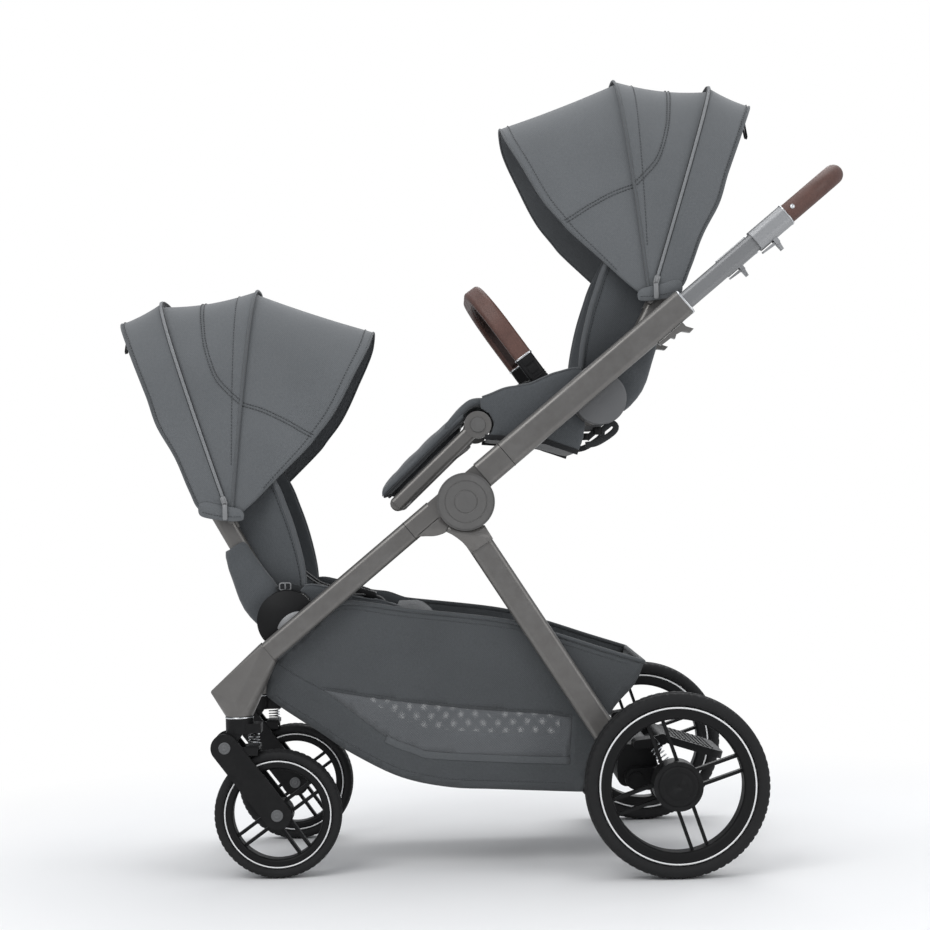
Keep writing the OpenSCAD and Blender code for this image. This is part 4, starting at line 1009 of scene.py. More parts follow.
def makeShell():
    rows = []
    for t in np.linspace(shellLook["start"], shellLook["end"], shellLook["rows"]):
        row = []
        for k, (y, d) in enumerate(shellSection(t)):
            fold = 0.8 * math.sin(t * 0.09 + y * 0.05) * math.sin(t * 0.021) * max(0.0, 1 - abs(d) / 90)
            row.append(onBack(t, d - fold, y))
        rows.append(row)
    verts = [p for row in rows for p in row]
    faces = [tuple(reversed(f)) for f in gridFaces(len(rows), len(rows[0]))]
    for piece in seatPiece(
        "BackShell", verts, faces, "seatCloth", "back", "seat_fabric", nodesFor=["back_shell"], closed=False
    ):
        skin = piece.modifiers.new("padding", "SOLIDIFY")
        skin.thickness, skin.offset = shellLook["thick"] / 1000, -1
        soft = piece.modifiers.new("soft", "SUBSURF")
        soft.levels = soft.render_levels = 1
    edge = [row[0] for row in rows] + rows[-1][1:-1] + [row[-1] for row in rows[::-1]]
    seatPiece(
        "ShellBinding", *sweep(smoothPath(edge, 7), roundSection(shellLook["binding"], 10)), "seatBinding",
        "back", "seat_fabric"
    )
    seams = []
    for end in (0, -1):
        near = []
        for row in rows[:-4]:
            line = row if end == 0 else row[::-1]
            near.append(
                alongPath(line[:8], 1)[int(shellLook["seamBack"])]
                + Vector((0, -1.2 if end == 0 else 1.2, 0))
            )
        seams.append(stitches(near, 3.4, 2.2, 0.55))
    seatPiece("ShellStitch", *joinParts(seams), "seatTrim", "back", "seat_fabric")
    tubes, sleeves = [], []
    for out in (-1, 1):
        at = lambda t, d, y: onBack(t, d, out * y)
        line = [
            at(t, tubeLook["d"], tubeLook["y"]) for t in np.linspace(tubeLook["start"], tubeLook["end"], 9)
        ]
        tubes.append(
            ribbon(
                line, [Vector((0, out, 0))] * len(line),
                roundRect(tubeLook["wide"], tubeLook["deep"], tubeLook["corner"], 5)
            )
        )
        rings = []
        rowsIn = sleeveLook["rows"]
        for t in np.linspace(rowsIn[0][0], rowsIn[-1][0], 40):
            low, high, half = (
                float(np.interp(t, [r[0] for r in rowsIn[::-1]], [r[k] for r in rowsIn[::-1]]))
                for k in (1, 2, 3)
            )
            ring = []
            for k in range(36):
                a = 2 * math.pi * k / 36
                c, q = math.cos(a), math.sin(a)
                ripple = 0.7 * math.sin(t * 0.16 + 3 * a) + 0.5 * math.sin(t * 0.07 - 2 * a)
                d = (low + high) / 2 + ((high - low) / 2) * math.copysign(abs(c) ** 0.75, c)
                y = sleeveLook["y"] + (half + ripple * 0.6) * math.copysign(abs(q) ** 0.75, q)
                ring.append(at(t + ripple, d, min(y, 144.6)))
            rings.append(ring)
        n = len(rings[0])
        pts = [v for ring in rings for v in ring]
        sleeves.append(
            (
                pts,
                gridFaces(len(rings), n, False, True) + [
                    tuple(range(n))[::-1], tuple(range(len(pts) - n, len(pts)))
                ]
            )
        )
    seatPiece("BackTube", *joinParts(tubes), "framePaint", "back", "frame")
    for piece in seatPiece("BackSleeve", *joinParts(sleeves), "seatCloth", "back", "seat_fabric"):
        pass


makeShell()
print("backrests made")

# canopies: cloth stretched between hoops, one panel to each moving hoop
hood = dict(
    low=15, points=61, thick=1.5, overlap=1.6, bowAngle=84.0, zipAngle=108.0,
    frontEdge=[
        (0, 40), (42, 40), (90, 42), (173, 43), (195, 44), (230, 45.1), (300, 49), (360, 51.5), (386, 53.2)
    ],
    rearEdge=[
        (0, 165), (47, 161), (80, 143), (126, 131), (195, 126.5), (243, 122.9), (330, 120.0), (386, 119.2)
    ],
    hoops=dict(  # reach, half width, squareness
        front=(386, 150.4, 2.5), bowIn=(381.5, 150.4, 2.9), bow=(384.5, 153.4, 2.9),
        zipIn=(381.5, 153.4, 3.2), zip=(384.5, 156.4, 3.2), rear=(381, 156.4, 3.2)),
)
panels = dict(
    Visor=dict(
        first="front", last="bowIn", steps=14, sag=2.5, drawIn=1.0, bodies=("canopy_mid", "canopy_visor"),
        node="canopy_visor"
    ),
    Mid=dict(
        first="bow", last="zipIn", steps=12, sag=8.0, drawIn=1.5, bodies=("back", "canopy_mid"),
        node="canopy_mid"
    ),
    Rear=dict(first="zip", last="rear", steps=8, sag=2.5, drawIn=0.0, bodies=("back",), node="canopy_rear"),
)


def hoopLine(name, angle):  # one hoop from the left hinge over the crown to the right hinge
    reach, half, square = hood["hoops"][name]
    start = math.asin((hood["low"] / reach) ** (square / 2))
    walk = []
    for a in np.linspace(start, math.pi - start, 241):
        across = -half * math.copysign(abs(math.cos(a)) ** (2 / square), math.cos(a))
        walk.append(Vector((reach * math.sin(a) ** (2 / square), across, 0)))
    line = []
    for p in alongPath(walk, 1, hood["points"]):
        a = math.radians(angle(p.x) if callable(angle) else angle)
        line.append(Vector((p.x * math.cos(a), p.y, p.x * math.sin(a))))
    return line


def panelGrid(first, last, steps, sag, drawIn):
    rows = []
    for i in range(steps + 1):
        s = i / steps
        dip = 4 * s * (1 - s)
        row = []
        for a, b in zip(first, last):
            p = a.lerp(b, s)
            out = Vector((p.x, 0, p.z))
            reach = out.length
            p = p - out.normalized() * (sag * dip * max(0.0, min(1.0, (reach - 120) / 200)))
            p.y -= math.copysign(
                drawIn * dip * max(0.0, min(1.0, (reach - 60) / 150)) * min(1.0, abs(p.y) / 60), p.y
            )
            row.append(p)
        rows.append(row)
    return rows


hoops = dict(
    front=hoopLine(
        "front", lambda r: table(hood["frontEdge"], r)
    ), bowIn=hoopLine("bowIn", hood["bowAngle"] + hood["overlap"]),
    bow=hoopLine("bow", hood["bowAngle"]), zipIn=hoopLine("zipIn", hood["zipAngle"] + hood["overlap"]),
    zip=hoopLine("zip", hood["zipAngle"]), rear=hoopLine("rear", lambda r: table(hood["rearEdge"], r)),
)
panelRows = {
    k: panelGrid(hoops[p["first"]], hoops[p["last"]], p["steps"], p["sag"], p["drawIn"])
    for k, p in panels.items()
}


def panelLine(name, share):  # points and outward normals along one line of a panel, from hinge to hinge
    rows = panelRows[name]
    k = max(0.0, min(1.0, share)) * (len(rows) - 1)
    i = min(int(k), len(rows) - 2)
    line = [a.lerp(b, k - i) for a, b in zip(rows[i], rows[i + 1])]
    normals = []
    for j, p in enumerate(line):
        n = (
            line[min(j + 1, len(line) - 1)] - line[max(j - 1, 0)]
        ).cross(rows[i + 1][j] - rows[i][j]).normalized()
        normals.append(n if n.dot(Vector((p.x, p.y * 2, p.z))) > 0 else -n)
    return line, normals


def panelSpot(name, reach, angle, side):  # one point on a panel's side and the way it faces
    rows = panelRows[name]
    middle = len(rows[0]) // 2
    line = []
    for j in (range(middle + 1) if side < 0 else range(len(rows[0]) - 1, middle - 1, -1)):
        a0, a1 = (math.degrees(math.atan2(p.z, p.x)) for p in (rows[0][j], rows[-1][j]))
        k = max(0.0, min(1.0, (angle - a0) / (a1 - a0))) * (len(rows) - 1)
        i = min(int(k), len(rows) - 2)
        line.append(rows[i][j].lerp(rows[i + 1][j], k - i))
    far = [math.hypot(p.x, p.z) for p in line]
    return Vector([float(np.interp(reach, far, [q[c] for q in line])) for c in range(3)])


def hangs(name):  # the bodies a panel hangs between, with the places on the crown where its cloth turns
    bodies = panels[name]["bodies"]
    if len(bodies) < 2:
        return bodies[0]
    a, b = (panelRows[name][k][hood["points"] // 2] + hoodHub for k in (-1, 0))
    return (*bodies, a.lerp(b, 0.12), a.lerp(b, 0.88))


def lifted(line, normals, by):
    return [p + hoodHub + n * by for p, n in zip(line, normals)]


def makeCanopy():
    for name, p in panels.items():
        rows = panelRows[name]
        cols = len(rows[0])
        verts = [q + hoodHub for row in rows for q in row]
        faces = gridFaces(len(rows), cols)
        for piece in seatPiece(
            "Canopy" + name, verts, faces, "canopyCloth", hangs(name), "canopy_fabric",
            nodesFor=[p["node"]], closed=False
        ):
            skin = piece.modifiers.new("cloth", "SOLIDIFY")
            skin.thickness, skin.offset = hood["thick"] / 1000, -1
            soft = piece.modifiers.new("soft", "SUBSURF")
            soft.levels = soft.render_levels = 1


hoodTrim = dict(
    hem=1.7, pipe=2.2, zipTape=7.6, zipCoil=5.0, tooth=2.6,
    seamMid=[(284, 97.6), (255, 96.6), (229, 94.6), (207, 90), (191, 84.6)],
    seamVisor=[(188, 83), (184, 72), (182, 59), (184, 50), (188, 45)],
    seamGap=2.6, slider=34, loop=[
        (5, -12), (2.5, -20), (0.5, -32), (-1.5, -45), (-0.5, -47.5), (1.5, -46), (3, -38), (5.5, -26),
        (8, -17)
    ],
    foot=[
        (20, 2), (21, 11), (14, 18), (0, 22), (-20, 26), (-38, 31), (-49, 29), (-52, 18), (-47, 8),
        (-24, 2), (0, -1), (14, -1), (20, 1)
    ],
    footSeam=[(17, 6), (0, 6), (-24, 9), (-46, 15)],
)


def seamRow(shift):  # one row of the twin seam on the middle panel, from side to side over the crown
    turn = 0.42 * shift
    spots = [(r - hoodTrim["seamGap"] * shift, a + turn) for r, a in hoodTrim["seamMid"]]
    crown, _ = panelLine(
        "Mid", (97.8 + turn - hood["bowAngle"]) / (hood["zipAngle"] + hood["overlap"] - hood["bowAngle"])
    )
    over = [p for p in crown if math.hypot(p.x, p.z) > 292]
    return [
        panelSpot("Mid", r, a, -1) for r, a in spots[::-1]
    ] + over + [panelSpot("Mid", r, a, 1) for r, a in spots]


def faceOut(p):  # the way the cloth faces at a place on a canopy
    reach = math.hypot(p.x, p.z)
    k = max(0.0, min(1.0, (reach - 280) / 95))
    radial = Vector((p.x, 0, p.z)).normalized()
    return (radial * k + Vector((0, math.copysign(1 - k, p.y), 0))).normalized()


def makeCanopyTrim():
    look = hoodTrim
    # hem along the front edge, a piped bow seam and the banded rear edge
    line, normals = panelLine("Visor", 0)
    seatPiece(
        "VisorHem", *sweep(smoothPath(lifted(line, normals, -0.6), 6), roundSection(look["hem"], 8)),
        "canopyTrim", hangs("Visor"), "canopy_fabric"
    )
    seams = [stitches(smoothPath(lifted(*panelLine("Visor", 0.065), 0.7)[4:-4], 5), 3.2, 2.0, 0.6)]
    for shift in (-1, 1):
        for side in (-1, 1):
            path = [panelSpot("Visor", r - look["seamGap"] * shift, a, side) for r, a in look["seamVisor"]]
            seams.append(
                stitches(
                    smoothPath([p + hoodHub + Vector((0, side * 0.7, 0)) for p in path], 4), 3.2, 1.6, 0.8
                )
            )
    seatPiece("VisorStitch", *joinParts(seams), "threadCloth", hangs("Visor"), "canopy_fabric")
    line, normals = panelLine("Mid", 0)
    seatPiece(
        "BowPiping", *sweep(smoothPath(lifted(line, normals, 0.2), 6), roundSection(look["pipe"], 8)),
        "canopyTrim", hangs("Mid"), "canopy_fabric"
    )
    rows = [
        stitches(smoothPath([p + hoodHub + faceOut(p) * 0.7 for p in seamRow(shift)], 4), 3.2, 1.6, 0.8)
        for shift in (-1, 1)
    ]
    rows.append(stitches(smoothPath(lifted(*panelLine("Mid", 0.18), 0.6)[5:-5], 5), 3.2, 2.0, 0.55))
    seatPiece("MidStitch", *joinParts(rows), "threadCloth", hangs("Mid"), "canopy_fabric")
    line, normals = panelLine("Rear", 1)
    seatPiece(
        "RearHem", *sweep(smoothPath(lifted(line, normals, -0.4), 6), roundSection(look["hem"], 8)),
        "canopyTrim", "back", "canopy_fabric"
    )
    rows = stitches(smoothPath(lifted(*panelLine("Rear", 0.93), 0.7)[3:-3], 5), 4.6, 0.8, 0.8)
    seatPiece("RearStitch", *rows, "threadCloth", "back", "canopy_fabric")
    # the hem that closes the canopy's foot over each hinge
    feet, marks = [], []
    for side in (-1, 1):
        foot = [(hoodHub.x + u, hoodHub.z + w) for u, w in curve2(look["foot"], 4)]
        feet.append(plate(foot, side * 156.8, side * 158.6))
        hem = [hoodHub + Vector((u, side * 158.8, w)) for u, w in look["footSeam"]]
        marks.append(stitches(smoothPath(hem, 4), 3.0, 1.6, 0.6))
    seatPiece("FootStitch", *joinParts(marks), "threadCloth", "back", "canopy_fabric")
    seatPiece("HoodFoot", *joinParts(feet), "canopyCloth", "back", "canopy_fabric")
    # zip: tape (near-black: the real tape, darkened as painted shadow along both sides of the coil), coil
    # with teeth, then the slider and its pull on the left side
    line, normals = panelLine("Rear", 0)
    tape = lifted(line, normals, 0.3)
    # the tape's near-black strips showing beside the coil are painted shadow
    seatPiece(
        "ZipTapeAndShadow", *ribbon(tape[1:-1], normals[1:-1], tapeSection(look["zipTape"], 1.1)), "seatTrim",
        "back", "canopy_fabric"
    )
    coil = smoothPath(lifted(line, normals, 1.2)[1:-1], look["tooth"])
    facing = [faceOut(p - hoodHub) for p in coil]
    teeth = [ribbon(coil, facing, [(a, b * 0.7) for a, b in roundSection(look["zipCoil"] / 2, 8, 0.55)])]
    for p, q, n in zip(coil[:-1], coil[1:], facing):
        teeth.append(ribbon([p, p.lerp(q, 0.5)], [n, n], [(-2.2, 0.2), (2.2, 0.2), (1.6, 1.5), (-1.6, 1.5)]))
    seatPiece("ZipTeeth", *joinParts(teeth), "zipCoil", "back", "grey_plastic")
    a = math.radians(hood["zipAngle"])
    along, side = Vector((math.cos(a), 0, math.sin(a))), Vector((math.sin(a), 0, -math.cos(a)))
    out = Vector((0, -1, 0))
    half = hood["hoops"]["zip"][1]
    at = hoodHub + along * look["slider"] + out * (half + 3.2)
    parts = [
        block(at, (side, along, out), (9, 13, 4.4), 2.2, 0.9),
        block(at + out * 2.6, (side, along, out), (3.2, 9, 2.6), 1.2, 0.6)
    ]
    top = at - along * 6 + out * 3.4
    parts.append(block(top + Vector((0, 0, -13)), ((1, 0, 0), (0, 0, 1), out), (7.5, 25, 1.8), 2.4, 0.5))
    parts.append(
        hoopAround(
            top + Vector((0, 0, -1)), Vector((1, 0, 0)), Vector((0, 0, 1)), 6.5, 8, 2.5,
            roundSection(0.8, 6)
        )
    )
    seatPiece("ZipPull", *joinParts(parts), "lightPlastic", "back", "steel")
    # a webbing loop hanging behind the crown
    p = panelRows["Rear"][-1][hood["points"] // 2] + hoodHub
    path = smoothPath([p + Vector((x, 0, z)) for x, z in look["loop"]], 3)
    facing = []
    for i in range(len(path)):
        step = path[min(i + 1, len(path) - 1)] - path[max(i - 1, 0)]
        facing.append(Vector((-step.z, 0, step.x)).normalized())
    for piece, s in zip(
        seatPiece(
            "RearLoop", *ribbon(path, facing, tapeSection(8, 2.4)), "strapWeb", "back", "seat_fabric"
        ),
        seats
    ):
        top = Vector(
            (seats[s]["hub"].x + seats[s]["face"] * p.x, seats[s]["hub"].y, seats[s]["hub"].z + p.z - 12)
        ) / 1000
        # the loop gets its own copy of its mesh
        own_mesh(piece)


# cloth that closes the canopy behind the headrest
curtainLook = dict(
    low=110, high=380.6, rear=[(110, -12.5), (222, -8), (322, 0), (380, 3)], rows=29, cols=33, inset=2
)


def makeCurtain():
    look = curtainLook
    verts = []
    reach, wide, square = hood["hoops"]["rear"]
    for s in np.linspace(0, 1, look["rows"]):
        r = look["low"] + (look["high"] - look["low"]) * (1 - (1 - s) ** 1.8)
        half = wide * (1 - (r / reach) ** square) ** (1 / square) - look["inset"]
        turn = math.radians(table(hood["rearEdge"], r)) + backSlope - math.pi
        for j in range(look["cols"]):
            across = j / (look["cols"] - 1) * 2 - 1
            rim = abs(across) ** 3
            sag = 0.8 * math.sin(r * 0.07 + across * 3) * (1 - across ** 2)
            d = table(look["rear"], r) * (1 - rim) - r * math.sin(turn) * rim + sag
            verts.append(onBack(hoodHub.length + r * (1 + (math.cos(turn) - 1) * rim), d, across * half))
    faces = [tuple(reversed(f)) for f in gridFaces(look["rows"], look["cols"])]
    for piece in seatPiece("BackCurtain", verts, faces, "seatCloth", "back", "seat_fabric", closed=False):
        skin = piece.modifiers.new("cloth", "SOLIDIFY")
        skin.thickness, skin.offset = 0.0016, 0


makeCanopy()
makeCanopyTrim()
makeCurtain()
print("canopies made")

# basket: two side panels with a net window, one strip for front, floor and back, and a rolled rim
basketLook = dict(
    half=163.2, taper=(320, 210, 11.0), thick=1.6, bulge=3.0, step=11.0, rimR=3.6,
    rim=[
        (-622, 342), (-570, 386), (-517, 429), (-406, 415), (-254, 394), (-172, 369), (-100, 344),
        (-34, 322)
    ],
    back=[(-34, 322), (-50, 288), (-88, 244), (-116, 176), (-138, 117)],
    floor=[
        (-138, 117), (-269, 125), (-352, 131), (-430, 150), (-508, 191), (-555, 224), (-611, 263),
        (-638, 285)
    ],
    nose=[(-638, 285), (-635, 314), (-622, 342)],
    netTop=[(-549, 293), (-453, 275), (-318, 256), (-200, 244), (-150, 236)],
    netLow=[
        (-156, 170), (-263, 176), (-377, 185), (-403, 193), (-444, 210), (-480, 237), (-506, 259),
        (-549, 293)
    ],
    noseSeam=[(-622, 337), (-590, 317), (-549, 293)],
    bandFrom=-450, bandWidth=11, legTop=(-230, 444), legLow=(-75, 176),
)


def insideShape(x, z, shape):
    hit = False
    for (x0, z0), (x1, z1) in zip(shape, shape[1:] + shape[:1]):
        if (z0 > z) != (z1 > z) and x < (x1 - x0) * (z - z0) / (z1 - z0) + x0:
            hit = not hit
    return hit


def edgeDistance(x, z, shape):
    best = 1e9
    p = Vector((x, z))
    for a, b in zip(shape, shape[1:] + shape[:1]):
        t = max(0.0, min(1.0, intersect_point_line(p, Vector(a), Vector(b))[1]))
        best = min(best, (p - Vector(a).lerp(Vector(b), t)).length)
    return best


def fillShape(outer, step, holes=()):  # triangles inside an outline, around its holes
    verts = [Vector(p) for p in outer]
    edges = [(i, (i + 1) % len(outer)) for i in range(len(outer))]
    for hole in holes:
        base = len(verts)
        verts += [Vector(p) for p in hole]
        edges += [(base + i, base + (i + 1) % len(hole)) for i in range(len(hole))]
    xs, zs = [p[0] for p in outer], [p[1] for p in outer]
    rows = int((max(zs) - min(zs)) / step) + 1
    for j in range(rows):
        z = min(zs) + step * (j + 0.5)
        for i in range(int((max(xs) - min(xs)) / step) + 1):
            x = min(xs) + step * (i + (0.5 if j % 2 else 0.0))
            if insideShape(x, z, outer) and edgeDistance(x, z, outer) > step * 0.45 and \
                    all(edgeDistance(x, z, h) > step * 0.45 for h in holes):
                verts.append(Vector((x, z)))
    points, _, faces, *_ = delaunay_2d_cdt(verts, edges, [], 0, 1e-4)
    kept = []
    for f in faces:
        cx, cz = (sum(points[i][k] for i in f) / len(f) for k in (0, 1))
        if insideShape(cx, cz, outer) and not any(insideShape(cx, cz, h) for h in holes):
            kept.append(tuple(f))
    return points, kept


def makeBasket():
    look = basketLook
    rim, back, floor, nose = (curve2(look[k], 9) for k in ("rim", "back", "floor", "nose"))
    outer = rim + back[1:] + floor[1:] + nose[1:-1]
    netTop, netLow = curve2(look["netTop"], 9), curve2(look["netLow"], 9)
    net = netTop + netLow[:-1]
    a, b = Vector(look["legTop"]), Vector(look["legLow"])

    def wide(z):  # the bag narrows towards its floor, clear of the folded front wheels
        high, low, draw = look["taper"]
        k = max(0.0, min(1.0, (high - z) / (high - low)))
        return look["half"] - draw * k * k * (3 - 2 * k)

    def depth(x, z):  # the side panel swells between the legs and lies flat behind them
        gap = abs((b - a).cross(Vector((x, z)) - a)) / (b - a).length
        free = max(0.0, min(1.0, (gap - 26) / 60))
        inset = max(0.0, min(1.0, edgeDistance(x, z, outer) / 70))
        ripple = 0.9 * math.sin(x * 0.045 + z * 0.03) * math.sin(z * 0.06 - x * 0.013)
        return wide(z) + inset * (look["bulge"] * free * math.sin(inset * math.pi / 2) + ripple * free)

    made = []
    for part, shape, holes, material, thick in (
        ("Side", outer, [net], "basketCloth", look["thick"]), ("Net", net, [], "basketNet", 0.5)
    ):
        points, faces = fillShape(shape, look["step"], holes)
        for side, out in (("left", -1), ("right", 1)):
            verts = [spot(p[0], p[1], out * depth(p[0], p[1])) for p in points]
            turned = faces if out < 0 else [tuple(reversed(f)) for f in faces]
            made.append((f"basket{part}_{side}", verts, turned, material, thick))
    run = nose[::-1] + floor[::-1][1:] + back[::-1][1:]
    cols = 26
    verts = []
    for k, (x, z) in enumerate(run):
        level = max(0.0, 1 - abs(k / (len(run) - 1) - 0.5) * 2.4)
        for j in range(cols + 1):
            y = (j / cols * 2 - 1) * (wide(z) - 0.4)
            dip = 5 * level * (1 - (y / wide(z)) ** 2) * (0.6 + 0.4 * math.cos(y * 0.05))
            verts.append(spot(x, z - dip if z > 118 + dip else z, y))
    made.append(("basketStrip", verts, gridFaces(len(run), cols + 1), "basketCloth", look["thick"]))
    loop = [spot(x, z, -look["half"]) for x, z in rim] + [
        spot(*rim[-1], y) for y in np.linspace(-look["half"] + 12, look["half"] - 12, 22)
    ]
    loop += [spot(x, z, look["half"]) for x, z in rim[::-1]] + [
        spot(*rim[0], y) for y in np.linspace(look["half"] - 12, -look["half"] + 12, 22)
    ]
    made.append(("basketRim", *sweep(loop, roundSection(look["rimR"], 8), True), "basketCloth", 0))
    extra = []
    for out in (-1, 1):
        on = lambda x, z, off: spot(x, z, out * (depth(x, z) + off))
        band = [(x, z) for x, z in netLow if x > look["bandFrom"]]
        extra.append(
            (
                "basketBand",
                *sweep(
                    [on(x, z - 3, 0.9) for x, z in band],
                    [(q, p) for p, q in tapeSection(look["bandWidth"], 1.0)]
                ),
                "canopyTrim"
            )
        )
        rows = [
            [on(x, z + 4, 1.1) for x, z in netTop],
            [on(x, z, 1.1) for x, z in curve2(look["noseSeam"], 6)],
            [on(x, z + 13, 1.1) for x, z in floor[2:-2]],
            [on(x, z - 11, 1.1) for x, z in rim[6:-3]],
        ]
        extra.append(("basketStitch", *joinParts([stitches(r, 3.2, 1.8, 0.5) for r in rows]), "threadCloth"))
    for k, (name, verts, faces, material) in enumerate(extra):
        made.append((f"{name}_{'left' if k < 2 else 'right'}", verts, faces, material, 0))
    for name, verts, faces, material, thick in made:
        piece = addPiece(name, verts, faces, material, None, "basket_fabric", closed=not thick)
        if thick:
            skin = piece.modifiers.new("cloth", "SOLIDIFY")
            skin.thickness, skin.offset = thick / 1000, 0
        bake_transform(piece)
    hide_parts("basket")


makeBasket()
print("basket made")

# frame trims: bright collars, joint lines, rivets, pivot caps
slopeDir = Vector(joints["handle_slide"]["axis"]).normalized()
slopeUp = Vector((-slopeDir.z, 0, slopeDir.x))
hubSpot = jointSpot("chassis_fold")
acrossDir = Vector((0, 1, 0))
frameTrim = dict(
    sideY=180, upper=dict(
        above=15, w=28, h=45, end=472.4, joint=98
    ), front=dict(above=22, w=28, h=35, joint=-98),
    sleeve=dict(start=620.8, end=686.2, w=30, h=37), rivet=dict(along=700, above=19), grip=16.5,
    casterZ=254.6, casterX=-680,
    web=[(29, -38), (41.5, -59.5), (6, -82), (-1, -71), (-7, -64), (-14, -58), (-23, -51.5), (-32, -47)],
    lobe=[
        (-93, 8), (-90, 4.5), (-83, -1), (-74, -8.5), (-64, -13.8), (-55, -16.2), (-46, -15), (-42, -6),
        (-44, 8)
    ],
)


def onSlope(along, above, y):
    return Vector((hubSpot.x, y, hubSpot.z)) + slopeDir * along + slopeUp * above


def button(centre, r, out, height=1.4):  # a low turned cap facing sideways
    profile = [
        (0.01, height), (r * 0.45, height), (r * 0.55, height * 0.55), (r * 0.68, height * 0.55),
        (r * 0.78, height * 0.9), (r * 0.94, height * 0.7), (r, 0.2), (r, -1.0), (0.01, -1.0)
    ]
    return lathe([(q, y * out) for q, y in profile], centre, 40)


def makeFrameTrim():
    look = frameTrim
    y = look["sideY"]
    up, fr, sl = look["upper"], look["front"], look["sleeve"]
    bright, lines, legLines, rings, rivets = [], [], [], [], []
    for out in (-1, 1):
        bright.append(
            hoopAround(
                onSlope(up["end"], up["above"], out * y), acrossDir, slopeUp, up["w"] - 1.6, up["h"] - 1.6,
                8, tapeSection(3.4, 2.6)
            )
        )
        lines.append(
            hoopAround(
                onSlope(up["joint"], up["above"], out * y), acrossDir, slopeUp, up["w"] + 0.3,
                up["h"] + 0.3, 9, roundSection(0.45, 6)
            )
        )
        legLines.append(
            hoopAround(
                onSlope(fr["joint"], fr["above"], out * y), acrossDir, slopeUp, fr["w"] + 0.3,
                fr["h"] + 0.3, 8, roundSection(0.45, 6)
            )
        )
        rings.append(
            hoopAround(
                onSlope(sl["end"], up["above"], out * y), acrossDir, slopeUp, sl["w"] + 0.2, sl["h"] + 0.2,
                13, tapeSection(2.2, 1.4)
            )
        )
        rivet = onSlope(look["rivet"]["along"], look["rivet"]["above"], out * (y + look["grip"] - 0.5))
        rivets.append(button(rivet, 3.8, out))
        side = "left" if out < 0 else "right"
        ring = [(21.4, -1.4), (22.5, -1.2), (22.7, 0), (22.5, 1.2), (21.4, 1.4)]
        addPiece(
            f"casterRing_{side}",
            *lathe(ring, spot(look["casterX"], look["casterZ"], out * y), 64, upright=True), "brightSteel",
            f"caster_{side}", "steel"
        )
        lo, hi = (Vector(v) * 1000 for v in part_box(f"fork_{side}"))
        caps = []
        for place in (jointSpot(f"front_suspension_{side}"), nodeCentre(f"front_tyre_{side}")):
            for face, edge in ((-1, lo.y), (1, hi.y)):
                caps.append(button(Vector((place.x, edge, place.z)), 9.5, face, 1.6))
        addPiece(f"forkCaps_{side}", *joinParts(caps), "greyPlastic", f"fork_{side}", "grey_plastic")
    # curved webs where the legs meet under the hub
    webs, lobes = [], []
    for out in (-1, 1):
        web = look["web"] + [
            (46.6 * math.cos(math.radians(a)), 46.6 * math.sin(math.radians(a)))
            for a in range(-126, -52, 6)
        ]
        webs.append(plate([(hubSpot.x + p, hubSpot.z + q) for p, q in web], out * 195.5, out * 197.5))
        lobe = [onSlope(p, q, 0) for p, q in curve2(look["lobe"], 4)]
        lobes.append(plate([(p.x, p.z) for p in lobe], out * 194.2, out * 195.2, 0.3))
    addPiece("hubWebs", *joinParts(webs), "framePaint", "rear_frame", "frame")
    addPiece("hubLobes", *joinParts(lobes), "framePaint", "front_frame", "frame")
    addPiece("tubeCollars", *joinParts(bright), "brightSteel", "upper_frame", "steel")
    addPiece("tubeLines", *joinParts(lines), "blackPlastic", "upper_frame", "black_plastic")
    addPiece("legLines", *joinParts(legLines), "blackPlastic", "front_frame", "black_plastic")
    addPiece("sleeveRings", *joinParts(rings), "brightSteel", "handle", "steel")
    addPiece("gripRivets", *joinParts(rivets), "brightSteel", "handle", "steel")


makeFrameTrim()

# bumper bar: collars, ribbed ends with a release key, and the stitched inner strip
bumperLook = dict(foot=(88, 26), lean=55, y=133.7, t=19, w=29, end=56, length=190, bend=80)


def onBumper(along, y, up=0.0):
    a = math.radians(bumperLook["lean"])
    u = bumperLook["foot"][0] + along * math.cos(a) - up * math.sin(a)
    w = bumperLook["foot"][1] + along * math.sin(a) + up * math.cos(a)
    hub = seats["upper"]["hub"]
    return Vector((hub.x - u, hub.y + y, hub.z + w))


